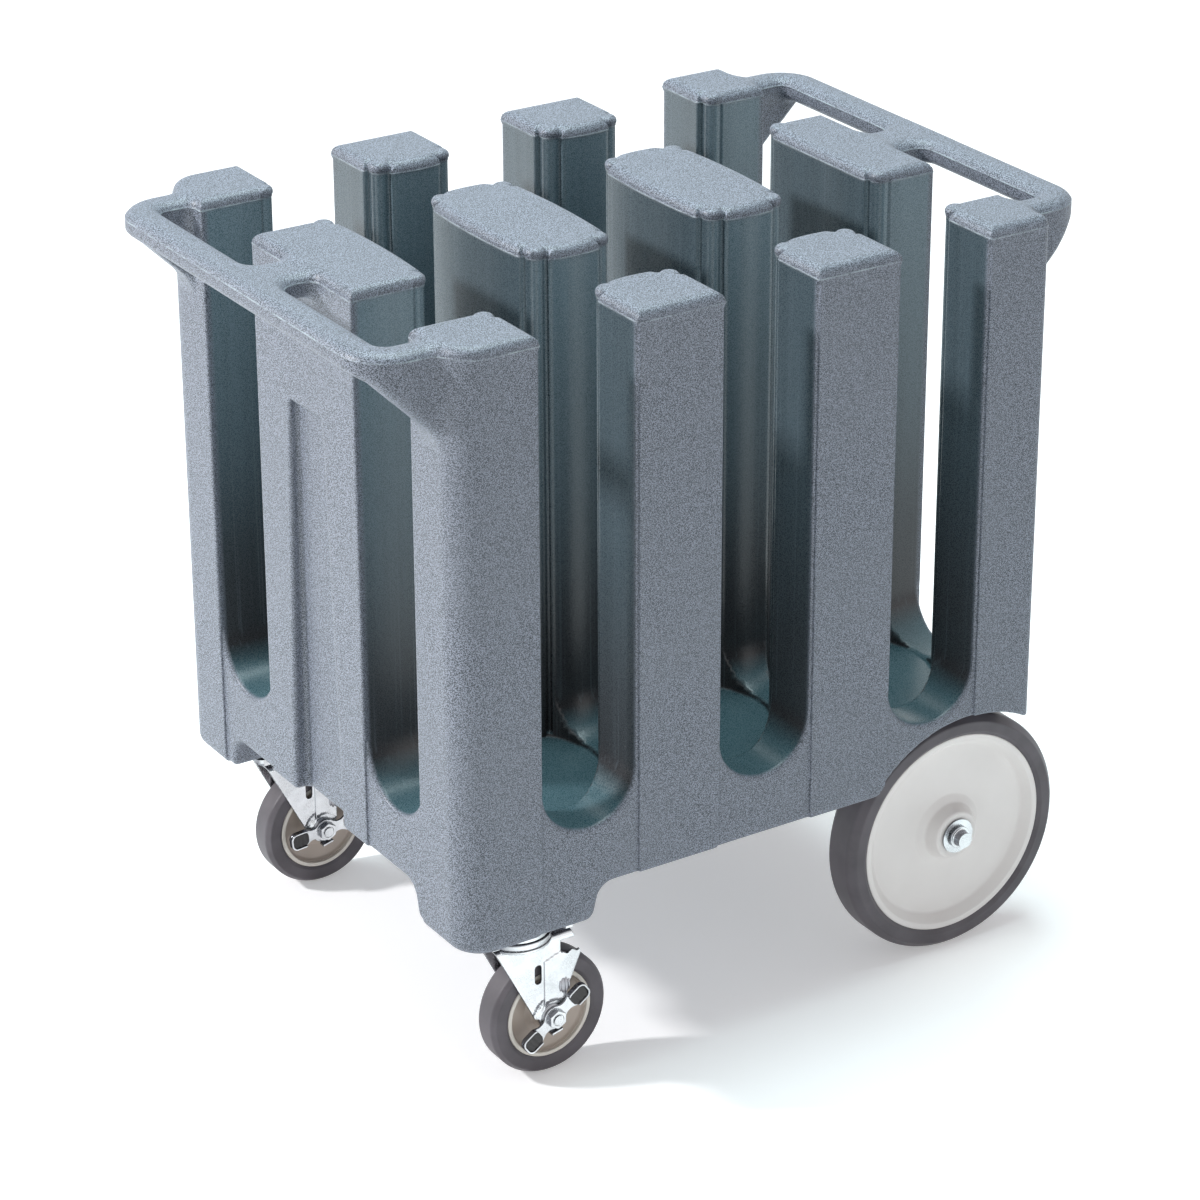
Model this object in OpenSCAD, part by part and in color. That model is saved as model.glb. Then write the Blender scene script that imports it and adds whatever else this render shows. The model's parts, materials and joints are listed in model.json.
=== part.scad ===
// Plate dispenser cart: a one-piece moulded body with twelve posts round six plate wells,
// a loop handle at each end, two braked swivel casters and two large wheels on an axle.
// X runs along the cart from the caster end to the wheel end, Y across it, Z up from the floor.

/* [Body] */
// Width of the body over its long sides
body_w = 552; // [500:1:620]
// Height of the post tops above the floor
body_h = 770; // [680:1:860]
// Width of the open slots between the posts
slot_w = 101; // [84:1:112]
// Length of the middle posts along the cart
post_l = 94.5; // [84:0.5:120]
// Length of the corner posts at the caster end
caster_post_l = 85; // [70:1:110]
// Length of the corner posts at the wheel end
wheel_post_l = 72; // [60:1:100]
// Width of the centre posts at both ends of the cart
centre_post_w = 186.5; // [160:0.5:210]
// Gap between the tips of the posts that stand side by side across the cart
tip_gap = 92; // [76:1:100]
// Radius of the rounded upright corners at the caster end
corner_r = 33; // [16:1:50]
// Radius of the upright corners at the wheel end
wheel_corner_r = 12; // [10:1:30]
// Bevel of the top edges
top_bevel = 5.3; // [3:0.1:8]
// Depth of the panels that are set back under the slots
panel_recess = 2.5; // [1:0.5:6]
// Height of the body's underside above the floor
underside_z = 208; // [190:1:220]
// Height of the underside of the two corner feet that carry the casters
foot_z = 170; // [166:1:178]
// Length of a caster foot along the cart
foot_l = 148; // [130:1:170]
// Width of a caster foot across the cart
foot_w = 93; // [88:1:110]
// Run of the sloped side of a caster foot
foot_slope = 9; // [4:1:16]

/* [Plate wells] */
// Radius of a plate well
well_r = 84; // [76:1:88]
// Height of the well floors above the floor
well_floor_z = 270; // [262:1:300]
// Radius of the half-round ribs that the plates lean on
rib_r = 8; // [4:0.5:10]
// How far the centre posts bulge out towards the neighbouring posts
ridge_h = 3.5; // [1:0.5:6]

/* [Handles] */
// Distance that a handle stands out from the body
handle_reach = 71; // [60:1:90]
// Width of a handle over its two arms
handle_w = 492; // [440:1:500]
// Width of the handle bar seen from above
bar_w = 34; // [26:1:40]
// Height of the handle bar
bar_h = 26; // [20:1:34]
// Bevel of the handle bar's edges
bar_bevel = 5.3; // [3:0.1:8]
// Outer radius of the handle's corners
handle_corner_r = 45; // [38:1:60]
// Width of the bridge between the handle bar and the centre post
bridge_w = 54; // [40:1:70]
// Length of the sloped gussets under the handle arms
gusset_l = 62; // [40:1:70]

/* [End groove] */
// Width of the groove in the caster end at its top
groove_top_w = 60; // [40:1:80]
// Width of the groove at the underside of the body
groove_foot_w = 92; // [70:1:110]
// Height of the groove's upper end above the floor
groove_top_z = 625; // [560:1:660]
// Depth of the groove at its top
groove_top_depth = 8; // [4:1:12]
// Depth of the groove at the underside
groove_foot_depth = 19; // [12:1:26]

/* [Casters] */
// Radius of the caster tyre
caster_r = 63.5; // [58:0.5:68]
// Width of the caster tyre
caster_tyre_w = 32; // [24:1:34]
// Radius of the caster hub
caster_hub_r = 46; // [38:1:50]
// Distance between the swivel axis and the caster's axle
caster_trail = 28; // [20:1:36]
// Distance of the swivel axis from the caster end of the body
caster_inset_x = 84.5; // [70:0.5:90]
// Distance of the swivel axis from the long side of the body
caster_inset_y = 54; // [48:0.5:56]
// Length of the mounting plate
plate_l = 104; // [96:1:116]
// Width of the mounting plate
plate_w = 72; // [66:1:84]
// Thickness of the mounting plate
plate_t = 4; // [3:0.5:6]
// Distance between the mounting bolts along the plate
bolt_span_l = 80; // [74:1:90]
// Distance between the mounting bolts across the plate
bolt_span_w = 50; // [46:1:58]
// Thickness of the fork's sheet
fork_t = 3; // [2:0.25:4]
// Outer radius of the ball race
race_r = 32; // [28:1:34]
// Radius of the bearing balls
ball_r = 3.5; // [2.5:0.25:4]
// Radius of the king pin
king_pin_r = 6; // [5:0.5:8]
// Radius of the caster's axle bolt
axle_bolt_r = 5; // [4:0.5:6]

/* [Brake] */
// Length of the brake pedal
pedal_l = 84; // [70:1:96]
// Width of the brake pedal at its ends
pedal_w = 19; // [15:1:24]
// Tilt of the pedal when the brake is off
pedal_tilt = 35; // [20:1:45]
// Angle that the pedal rocks through to set the brake
pedal_travel = 30; // [15:1:40]
// Thickness of the pedal's sheet
pedal_t = 2.5; // [2:0.5:4]
// Thickness of the grip pads
pad_t = 3; // [2:0.5:5]

/* [Rear wheels] */
// Radius of the rear tyre
wheel_r = 127; // [115:1:132]
// Radius of the wheel disc
disc_r = 106; // [92:1:110]
// Width of the rear tyre
wheel_w = 45; // [36:1:50]
// Distance from the wheel end of the body to the axle
axle_inset = 72.5; // [62:0.5:84]
// Half the distance between the outer faces of the two wheel discs
disc_face_y = 252; // [244:1:254]
// Gap between the tyre and the wheel arch
arch_gap = 11; // [8:1:12]
// Radius of the rear axle
axle_r = 8; // [6:0.5:9]
// Height of the boss in the middle of a disc above the rim
boss_h = 7; // [4:0.5:9]
// Radius of the boss at its foot
boss_r = 36; // [30:1:42]
// Depth of the dished face of a disc inside its rim
dish_depth = 10; // [4:0.5:12]
// Distance of the axle brackets from the middle of the cart
bracket_y = 150; // [120:1:155]
// Width of an axle bracket across the cart
bracket_w = 46; // [44:1:50]
// Length of an axle bracket along the cart
bracket_l = 100; // [90:1:116]
// Thickness of the bracket's sheet
bracket_t = 4; // [3:0.5:5]

/* [Fasteners] */
// Radius of the mounting bolts
bolt_r = 4; // [3:0.5:4.5]
// Width across the flats of the bolt heads
bolt_flats = 13; // [11:0.5:16]
// Height of the bolt heads
bolt_head_h = 5.5; // [4:0.5:7]
// Depth that the bolts reach into the body
bolt_depth = 18; // [12:1:24]
// Outer radius of the threaded inserts in the body
insert_r = 6.5; // [6:0.5:8]

/* [Hidden] */
$fn = 64;

// Sides of the cart: right is the near long side, left the far one
RIGHT = -1;
LEFT = 1;
SIDES = [RIGHT, LEFT];
ENDS = [-1, 1];

// Counts
columns = 3;
ball_count = 16;

// Overrun of every cut past the face that it opens
over = 1;
// Gap between pieces that move past each other
run_gap = 0.3;
// Radial clearance of a turning fit
fit_gap = 0.05;

// Step between a well floor and the bottoms of its slots
slot_step = 1.5;
// How far the slots from the sides stop short of the crossing slots
slot_stop = 8;
// How far the ribs end under the bevelled edge
rib_drop = 3;
// How much narrower the panels are than the slots above them
panel_step = 1;
// How far the panels stop below the straight walls of the slots
panel_lip = 3;

// Body layout
pitch_x = slot_w + post_l;
body_l = caster_post_l + wheel_post_l + columns * slot_w + (columns - 1) * post_l;
x_min = -body_l / 2;
x_max = body_l / 2;
y_max = body_w / 2;
well_x0 = x_min + caster_post_l + slot_w / 2;
well_y = centre_post_w / 2 + slot_w / 2;
edge_z = body_h - top_bevel;
slot_floor_z = well_floor_z + slot_step;
slot_end = slot_w / 2 + slot_stop;
rib_angle = (acos(slot_w / 2 / well_r) + asin(tip_gap / 2 / well_r)) / 2;
foot_round = 12;

// Caster layout
swivel_x = x_min + caster_inset_x;
swivel_y = y_max - caster_inset_y;
axle_off_x = swivel_x + caster_trail;
plate_corner_r = 8;
hole_gap = 0.5;
plate_hole_r = bolt_r + hole_gap;
plate_z = foot_z - plate_t;
race_h = 7.5;
race_gap = 0.6;
race_z = plate_z - race_h;
race_wall = 1;
race_track_r = race_r - 2 * ball_r - race_wall;
ball_z = race_z - race_gap / 2;
track_gap = 0.1;
groove_r = ball_r + track_gap;
cup_h = 7.5;
cup_z = race_z - race_gap - cup_h;
crown_z = cup_z - fork_t;
crown_lap = 2;
crown_r = race_r + crown_lap;
king_nut_h = 6;
king_nut_flats = 19;
king_head_lap = 3;
king_head_r = king_pin_r + king_head_lap;
leg_gap = 2;
fork_in = caster_tyre_w + 2 * leg_gap;
leg_boss_r = 15;
leg_front = -33;
leg_front_drop = 2;
leg_back = 58;
leg_back_drop = 24;
leg_neck_h = 24;
leg_slot_r = 3.5;
leg_slot_l = 13;
leg_slot_x = 12;
leg_slot_z = 41;
sleeve_r = 10;
hub_gap = 1;
hub_w = fork_in - 2 * hub_gap;
hub_rim_set = 2;
hub_rim_w = caster_tyre_w - 2 * hub_rim_set;
hub_rim_t = 5;
hub_web_w = 14;
hub_core_r = 17;
tyre_edge_r = 7;
cam_r = 12;
cam_t = 1.5;
axle_nut_h = 5;
axle_nut_flats = 17;
axle_head_h = 5;
pedal_hub_r = 12;
pedal_waist_w = 13;
pad_l = 22;
pad_w = 13;
pad_edge = 2.5;

// Rear wheel layout
axle_x = x_max - axle_inset;
tyre_proud = 3;
wheel_mid_y = disc_face_y - wheel_w / 2 + tyre_proud;
disc_web_t = 6;
disc_rim_t = 6;
disc_rim_w = 38;
dish_edge_w = 14;
dish_slope_w = 8.5;
boss_tip_r = 24;
wheel_edge_r = 9;
hub_in_r = 19;
bush_t = 3;
bush_l = 20;
washer_r = 18;
washer_t = 1.5;
cap_r = 12;
cap_h = 7;
axle_end = 5;
spacer_t = 3;
bracket_edge_r = 15;
bracket_bolt_l = 76;
bracket_bolt_w = 20;
hub_out_y = disc_face_y + boss_h;
hub_proud = 1;
hub_in_y = wheel_mid_y - wheel_w / 2 - hub_proud;
arch_r = wheel_r + arch_gap;
arch_spare = 10;
arch_depth = body_w / 2 - hub_in_y + 2 * washer_t + arch_spare;
axle_l = 2 * (hub_out_y + run_gap + washer_t + cap_h + axle_end);

// Colours
plastic_blue = [0.46, 0.53, 0.57];
zinc = [0.83, 0.85, 0.86];
steel = [0.62, 0.64, 0.66];
brass = [0.78, 0.64, 0.35];
tyre_grey = [0.36, 0.34, 0.37];
hub_tan = [0.66, 0.60, 0.55];
disc_white = [0.84, 0.82, 0.80];
pad_black = [0.13, 0.13, 0.13];

function well_x(i) = well_x0 + i * pitch_x;

// Draws a piece of the left side on the given side
module on_side(side) {
    mirror([0, (1 - side) / 2, 0]) children();
}

// Plan of the body

// Corner waste that leaves a quarter round of radius r
module corner_nick(r) {
    difference() {
        translate([-over, -over]) square([r + over, r + over]);
        translate([r, r]) circle(r);
    }
}

// Body outline from above, taken in by inset all round
module plan(inset) {
    difference() {
        translate([x_min + inset, -y_max + inset]) square([body_l - 2 * inset, body_w - 2 * inset]);
        for (s = SIDES) on_side(s) {
            translate([x_min + inset, y_max - inset]) rotate(-90)
                corner_nick(corner_r - inset);
            translate([x_max - inset, y_max - inset]) rotate(180)
                corner_nick(wheel_corner_r - inset);
        }
    }
}

// Waste of a bevelled top edge: the wall stands at zero and the material lies towards +X
module edge_waste() {
    polygon([[-over, edge_z - over], [top_bevel + over, body_h + over], [-over, body_h + over]]);
}

// Waste along the top edges of a straight side of the body
module side_waste(l) {
    rotate([90, 0, 0]) linear_extrude(l) edge_waste();
}

// Waste along the top edge of an upright corner of radius r
module corner_waste(r) {
    rotate_extrude(angle = 90) translate([r, 0]) mirror([1, 0]) edge_waste();
}

// Everything that bevels the outer top edges
module outer_edges() {
    for (s = SIDES) on_side(s) {
        translate([x_max - wheel_corner_r, y_max, 0]) rotate(-90)
            side_waste(body_l - corner_r - wheel_corner_r);
        translate([x_max - wheel_corner_r, y_max - wheel_corner_r, 0]) corner_waste(wheel_corner_r);
        translate([x_min + corner_r, y_max - corner_r, 0]) rotate(90) corner_waste(corner_r);
    }
    translate([x_min, y_max - corner_r, 0]) side_waste(body_w - 2 * corner_r);
    translate([x_max, -y_max + wheel_corner_r, 0]) rotate(180) side_waste(body_w - 2 * wheel_corner_r);
}

// Bevel of the top edge of a cut of half width w, drawn for one side
module top_flare(w) {
    translate([w, 0]) edge_waste();
}

// Section of a slot: round bottom, straight walls, bevelled top edges
module slot_section(w) {
    translate([0, slot_floor_z + w / 2]) circle(w / 2);
    translate([-w / 2, slot_floor_z + w / 2]) square([w, body_h + over - slot_floor_z - w / 2]);
    top_flare(w / 2);
    mirror([1, 0]) top_flare(w / 2);
}

// Slot of width w along X from x0 to x1
module slot_along_x(w, x0, x1) {
    translate([x0, 0, 0]) rotate([90, 0, 90]) linear_extrude(x1 - x0) slot_section(w);
}

// Slot of width w along Y across the whole body
module slot_along_y(w) {
    translate([0, y_max + over, 0]) rotate([90, 0, 0]) linear_extrude(body_w + 2 * over) slot_section(w);
}

// Half-round rib with a coned top
module rib() {
    rib_h = edge_z - rib_drop - rib_r - well_floor_z;
    translate([well_r, 0, well_floor_z - over]) cylinder(r = rib_r, h = rib_h + over);
    translate([well_r, 0, well_floor_z + rib_h]) cylinder(r1 = rib_r, r2 = rib_r / 2, h = rib_r);
}

// Space of one plate well, less its four ribs
module well() {
    difference() {
        rotate_extrude() {
            translate([0, well_floor_z]) square([well_r, body_h - well_floor_z + over]);
            top_flare(well_r);
        }
        for (a = [rib_angle, 180 - rib_angle, 180 + rib_angle, 360 - rib_angle]) rotate(a) rib();
    }
}

// Everything that the wells and slots take out of the block
module wells_and_slots() {
    for (i = [0 : columns - 1]) {
        translate([well_x(i), 0, 0]) slot_along_y(slot_w);
        for (s = SIDES) translate([well_x(i), s * well_y, 0]) well();
    }
    for (s = SIDES) translate([0, s * well_y, 0]) {
        slot_along_x(slot_w, x_min - over, well_x(0) - slot_end);
        slot_along_x(slot_w, well_x(columns - 1) + slot_end, x_max + over);
        for (i = [1 : columns - 1])
            slot_along_x(tip_gap, well_x(i - 1) + slot_end, well_x(i) - slot_end);
    }
}

// Panels set back under the slots on all four sides
module panel_recesses() {
    panel_w = slot_w - panel_step;
    panel_h = slot_floor_z + slot_w / 2 - panel_lip - foot_z;
    for (s = SIDES) on_side(s) {
        for (i = [0 : columns - 1])
            translate([well_x(i) - panel_w / 2, y_max - panel_recess, foot_z - over])
                cube([panel_w, panel_recess + over, panel_h + over]);
        for (e = ENDS) translate([e * (x_max - panel_recess / 2 + over / 2), well_y, foot_z - over])
            translate([-(panel_recess + over) / 2, -panel_w / 2, 0])
                cube([panel_recess + over, panel_w, panel_h + over]);
    }
}

// Tapered groove in the caster end, deeper towards the underside
module end_groove() {
    groove_bottom_z = underside_z - over;
    intersection() {
        translate([x_min - over, 0, 0]) rotate([90, 0, 90]) linear_extrude(groove_foot_depth + 2 * over)
            polygon([[-groove_foot_w / 2, groove_bottom_z], [groove_foot_w / 2, groove_bottom_z],
                [groove_top_w / 2, groove_top_z], [-groove_top_w / 2, groove_top_z]]);
        translate([0, groove_foot_w / 2 + over, 0]) rotate([90, 0, 0]) linear_extrude(groove_foot_w + 2 * over)
            polygon([[x_min - over, groove_bottom_z], [x_min + groove_foot_depth, groove_bottom_z],
                [x_min + groove_top_depth, groove_top_z], [x_min - over, groove_top_z]]);
    }
}

// Wheel arches cut up into the body from both long sides
module wheel_arches() {
    for (s = SIDES)
        translate([axle_x, s * (y_max - arch_depth / 2 + over / 2), wheel_r])
            rotate([90, 0, 0]) cylinder(r = arch_r, h = arch_depth + over, center = true, $fn = 128);
}

// Corner foot that carries a caster, with sloped inner sides
module caster_foot(side) {
    foot_h = underside_z - foot_z;
    intersection() {
        translate([0, 0, foot_z]) linear_extrude(foot_h + over) plan(0);
        translate([0, y_max + over, 0]) rotate([90, 0, 0]) linear_extrude(body_w + 2 * over)
            polygon([[x_min - over, foot_z + foot_round], [x_min, foot_z + foot_round],
                [x_min + foot_round, foot_z], [x_min + foot_l - foot_slope, foot_z],
                [x_min + foot_l, underside_z + over], [x_min - over, underside_z + over]]);
        on_side(side) translate([x_min - over, 0, 0]) rotate([90, 0, 90]) linear_extrude(foot_l + 2 * over)
            polygon([[y_max + over, foot_z + foot_round], [y_max, foot_z + foot_round],
                [y_max - foot_round, foot_z], [y_max - foot_w, foot_z],
                [y_max - foot_w - foot_slope, underside_z + over], [y_max + over, underside_z + over]]);
    }
}

// Shallow bulges on the long faces of the centre posts
module post_ridges() {
    ridge_y = well_y - sqrt(pow(well_r, 2) - pow(slot_w / 2, 2)) - ridge_h;
    translate([0, 0, well_floor_z]) linear_extrude(edge_z - well_floor_z)
        for (i = [0 : columns - 1]) {
            if (i < columns - 1) translate([well_x(i) + slot_w / 2, 0])
                polygon([[over, -ridge_y], [0, -ridge_y], [-ridge_h, 0], [0, ridge_y], [over, ridge_y]]);
            translate([well_x(i) - slot_w / 2, 0])
                polygon([[-over, -ridge_y], [0, -ridge_y], [ridge_h, 0], [0, ridge_y], [-over, ridge_y]]);
        }
}

// Section of the handle bar with bevelled edges, its top at zero
module bar_section() {
    half_w = bar_w / 2;
    polygon([[-half_w + bar_bevel, 0], [half_w - bar_bevel, 0], [half_w, -bar_bevel],
        [half_w, -bar_h + bar_bevel], [half_w - bar_bevel, -bar_h], [-half_w + bar_bevel, -bar_h],
        [-half_w, -bar_h + bar_bevel], [-half_w, -bar_bevel]]);
}

// Outline of a handle from above, used to trim its gussets
module handle_plan(reach) {
    bend = handle_corner_r;
    translate([-reach + bend, -handle_w / 2]) square([reach + over - bend, handle_w]);
    translate([-reach, -handle_w / 2 + bend]) square([reach + over, handle_w - 2 * bend]);
    for (s = SIDES) translate([-reach + bend, s * (handle_w / 2 - bend)]) circle(bend);
}

// Loop handle that stands out of the end face at x = 0 towards -X; root is its hold in the body
module handle(root) {
    bend_r = handle_corner_r - bar_w / 2;
    arm_y = handle_w / 2 - bar_w / 2;
    bar_x = -handle_reach + bar_w / 2;
    arm_l = root - bar_x - bend_r;
    translate([0, 0, body_h]) {
        translate([bar_x, handle_w / 2 - handle_corner_r, 0]) rotate([90, 0, 0])
            linear_extrude(handle_w - 2 * handle_corner_r) bar_section();
        for (s = SIDES) on_side(s) {
            translate([bar_x + bend_r, arm_y, 0]) rotate([90, 0, 90]) linear_extrude(arm_l) bar_section();
            translate([bar_x + bend_r, arm_y - bend_r, 0]) rotate([0, 0, 90])
                rotate_extrude(angle = 90) translate([bend_r, 0]) bar_section();
            intersection() {
                translate([0, handle_w / 2, 0]) rotate([90, 0, 0]) linear_extrude(bar_w)
                    polygon([[over, -bar_h / 2], [-gusset_l, -bar_h / 2], [-gusset_l, -bar_h],
                        [0, -bar_h - gusset_l], [over, -bar_h - gusset_l]]);
                translate([0, 0, -bar_h - gusset_l]) linear_extrude(gusset_l + bar_h) handle_plan(handle_reach);
            }
        }
        translate([bar_x, -bridge_w / 2, -bar_h]) cube([root - bar_x, bridge_w, bar_h]);
    }
}

// Blind holes for the threaded inserts, opening downwards
module insert_holes() {
    for (s = SIDES) {
        at_plate_bolts(s) translate([0, 0, foot_z - over]) cylinder(r = insert_r, h = bolt_depth + over);
        at_bracket_bolts(s) translate([0, 0, underside_z - over])
            cylinder(r = insert_r, h = bolt_depth + over);
    }
}

module body() {
    color(plastic_blue) {
        difference() {
            union() {
                difference() {
                    translate([0, 0, underside_z]) linear_extrude(body_h - underside_z) plan(0);
                    outer_edges();
                    wells_and_slots();
                }
                for (s = SIDES) caster_foot(s);
                post_ridges();
            }
            panel_recesses();
            end_groove();
            wheel_arches();
            insert_holes();
        }
        translate([x_min, 0, 0]) handle(caster_post_l / 2);
        translate([x_max, 0, 0]) mirror([1, 0, 0]) handle(wheel_post_l / 2);
    }
}

// Fasteners

// Hexagonal prism of a width across the flats
module hex_prism(flats, h) {
    cylinder(r = flats / sqrt(3), h = h, $fn = 6);
}

// Places of the four bolts of one caster plate
module at_plate_bolts(side) {
    for (x = [-1, 1], y = [-1, 1])
        translate([swivel_x + x * bolt_span_l / 2, side * swivel_y + y * bolt_span_w / 2, 0]) children();
}

// Places of the four bolts of one axle bracket
module at_bracket_bolts(side) {
    for (x = [-1, 1], y = [-1, 1])
        translate([axle_x + x * bracket_bolt_l / 2, side * bracket_y + y * bracket_bolt_w / 2, 0]) children();
}

// Hex head bolt whose head bears upwards at z = 0
module hex_bolt(grip) {
    translate([0, 0, -bolt_head_h]) hex_prism(bolt_flats, bolt_head_h);
    cylinder(r = bolt_r, h = grip + bolt_depth - over);
}

// Threaded insert that opens downwards at z = 0
module threaded_insert() {
    difference() {
        cylinder(r = insert_r, h = bolt_depth);
        translate([0, 0, -over]) cylinder(r = bolt_r, h = bolt_depth);
    }
}

module threaded_inserts() {
    color(brass) for (s = SIDES) {
        at_plate_bolts(s) translate([0, 0, foot_z]) threaded_insert();
        at_bracket_bolts(s) translate([0, 0, underside_z]) threaded_insert();
    }
}

module plate_bolts(side) {
    color(zinc) at_plate_bolts(side) translate([0, 0, plate_z]) hex_bolt(plate_t - over);
}

module bracket_bolts() {
    color(zinc) for (s = SIDES)
        at_bracket_bolts(s) translate([0, 0, underside_z - bracket_t]) hex_bolt(bracket_t - over);
}

// Casters

module at_swivel(side) {
    translate([swivel_x, side * swivel_y, 0]) children();
}

module at_caster_axle(side) {
    translate([axle_off_x, side * swivel_y, caster_r]) rotate([90, 0, 0]) children();
}

// Round track for the balls
module ball_track() {
    translate([0, 0, ball_z]) rotate_extrude() translate([race_track_r, 0]) circle(groove_r);
}

module caster_plate(side) {
    color(zinc) at_swivel(side) difference() {
        union() {
            translate([0, 0, plate_z]) linear_extrude(plate_t) {
                square([plate_l - 2 * plate_corner_r, plate_w], center = true);
                square([plate_l, plate_w - 2 * plate_corner_r], center = true);
                for (x = [-1, 1], y = [-1, 1])
                    translate([x * (plate_l / 2 - plate_corner_r), y * (plate_w / 2 - plate_corner_r)])
                        circle(plate_corner_r);
            }
            translate([0, 0, race_z]) cylinder(r = race_r, h = race_h);
        }
        for (x = [-1, 1], y = [-1, 1])
            translate([x * bolt_span_l / 2, y * bolt_span_w / 2, plate_z - over])
                cylinder(r = plate_hole_r, h = plate_t + 2 * over);
        translate([0, 0, race_z - over]) cylinder(r = king_pin_r, h = race_h + plate_t + 2 * over);
        translate([0, 0, plate_z + plate_t / 2]) cylinder(r = king_head_r, h = plate_t / 2 + over);
        ball_track();
    }
}

module race_balls(side) {
    color(steel) at_swivel(side) for (i = [0 : ball_count - 1])
        rotate(i * 360 / ball_count) translate([race_track_r, 0, ball_z]) sphere(ball_r);
}

module king_pin(side) {
    color(steel) at_swivel(side) {
        pin_z = crown_z - run_gap - king_nut_h - over;
        translate([0, 0, pin_z]) cylinder(r = king_pin_r, h = foot_z - pin_z);
        translate([0, 0, plate_z + plate_t / 2]) cylinder(r = king_head_r, h = plate_t / 2);
    }
}

module king_nut(side) {
    color(zinc) at_swivel(side) translate([0, 0, crown_z - run_gap - king_nut_h]) difference() {
        hex_prism(king_nut_flats, king_nut_h);
        translate([0, 0, -over]) cylinder(r = king_pin_r, h = king_nut_h + 2 * over);
    }
}

// Outline of a fork leg in X and Z, measured from the swivel axis
module leg_outline() {
    difference() {
        union() {
            polygon([[leg_front, crown_z + fork_t], [leg_front, crown_z - leg_front_drop],
                [caster_trail - leg_boss_r, caster_r], [caster_trail + leg_boss_r, caster_r],
                [caster_trail + leg_boss_r, caster_r + leg_neck_h],
                [leg_back, crown_z - leg_back_drop], [leg_back, crown_z + fork_t]]);
            translate([caster_trail, caster_r]) circle(leg_boss_r);
        }
        translate([leg_slot_x, crown_z - leg_slot_z]) {
            translate([-leg_slot_r, 0]) square([2 * leg_slot_r, leg_slot_l]);
            circle(leg_slot_r);
            translate([0, leg_slot_l]) circle(leg_slot_r);
        }
        translate([caster_trail, caster_r]) circle(axle_bolt_r + fit_gap);
    }
}

module fork(side) {
    leg_y = fork_in / 2;
    color(zinc) at_swivel(side) difference() {
        union() {
            translate([0, 0, cup_z]) cylinder(r = crown_r, h = cup_h);
            translate([0, 0, crown_z]) linear_extrude(fork_t) {
                circle(crown_r);
                translate([leg_front, -leg_y]) square([leg_back - leg_front, fork_in]);
            }
            for (y = [-leg_y, leg_y + fork_t]) translate([0, y, 0]) rotate([90, 0, 0])
                linear_extrude(fork_t) leg_outline();
        }
        translate([0, 0, crown_z - over]) cylinder(r = king_pin_r + fit_gap, h = fork_t + cup_h + 2 * over);
        ball_track();
    }
}

// Bolt through both legs; its head is on the left side of the caster
module axle_bolt(side) {
    leg_out = fork_in / 2 + fork_t;
    nut_out = leg_out + cam_t + pedal_t + 2 * run_gap + axle_nut_h;
    color(zinc) at_caster_axle(side) {
        translate([0, 0, -leg_out - axle_head_h]) hex_prism(axle_nut_flats, axle_head_h);
        translate([0, 0, -leg_out]) cylinder(r = axle_bolt_r, h = leg_out + nut_out + over);
    }
}

module axle_nut(side) {
    color(zinc) at_caster_axle(side)
        translate([0, 0, fork_in / 2 + fork_t + cam_t + pedal_t + 2 * run_gap]) difference() {
            hex_prism(axle_nut_flats, axle_nut_h);
            translate([0, 0, -over]) cylinder(r = axle_bolt_r, h = axle_nut_h + 2 * over);
        }
}

// Fixed cam washer that the pedal rides on to squeeze the fork against the hub
module brake_cam(side) {
    color(steel) at_caster_axle(side) translate([0, 0, fork_in / 2 + fork_t]) difference() {
        cylinder(r = cam_r, h = cam_t);
        translate([0, 0, -over]) cylinder(r = axle_bolt_r + fit_gap, h = cam_t + 2 * over);
    }
}

module bearing_sleeve(side) {
    color(steel) at_caster_axle(side) difference() {
        cylinder(r = sleeve_r, h = fork_in, center = true);
        cylinder(r = axle_bolt_r + fit_gap, h = fork_in + 2 * over, center = true);
    }
}

// Hub with a rim, a thinner web and a core round the sleeve
module caster_hub(side) {
    color(hub_tan) at_caster_axle(side) rotate_extrude() {
        translate([sleeve_r + fit_gap, -hub_w / 2]) square([hub_core_r - sleeve_r - fit_gap, hub_w]);
        translate([sleeve_r + fit_gap, -hub_web_w / 2]) square([caster_hub_r - sleeve_r - fit_gap, hub_web_w]);
        translate([caster_hub_r - hub_rim_t, -hub_rim_w / 2]) square([hub_rim_t, hub_rim_w]);
    }
}

// Half section of a tyre with rounded shoulders, from radius r0 to r1
module tyre_section(r0, r1, w, edge) {
    translate([r0, -w / 2]) square([r1 - edge - r0, w]);
    translate([r0, -w / 2 + edge]) square([r1 - r0, w - 2 * edge]);
    for (y = [-1, 1]) translate([r1 - edge, y * (w / 2 - edge)]) circle(edge);
}

module caster_tyre(side) {
    color(tyre_grey) at_caster_axle(side) rotate_extrude($fn = 128)
        tyre_section(caster_hub_r, caster_r, caster_tyre_w, tyre_edge_r);
}

// Places a pedal piece in the plane of the pedal; the left brake is set and the right one is off
module in_pedal(side) {
    tilt = side == LEFT ? pedal_tilt - pedal_travel : pedal_tilt;
    at_caster_axle(side) translate([0, 0, fork_in / 2 + fork_t + cam_t + run_gap]) rotate(tilt) children();
}

module brake_pedal(side) {
    end_x = pedal_l / 2 - pedal_w / 2;
    color(zinc) in_pedal(side) linear_extrude(pedal_t) difference() {
        union() {
            circle(pedal_hub_r);
            translate([-end_x, -pedal_waist_w / 2]) square([2 * end_x, pedal_waist_w]);
            for (x = ENDS) {
                translate([x * end_x, 0]) circle(pedal_w / 2);
                translate([x * end_x - pad_l / 2, -pedal_w / 2]) square([pad_l / 2, pedal_w]);
            }
        }
        circle(axle_bolt_r + fit_gap);
    }
}

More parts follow.
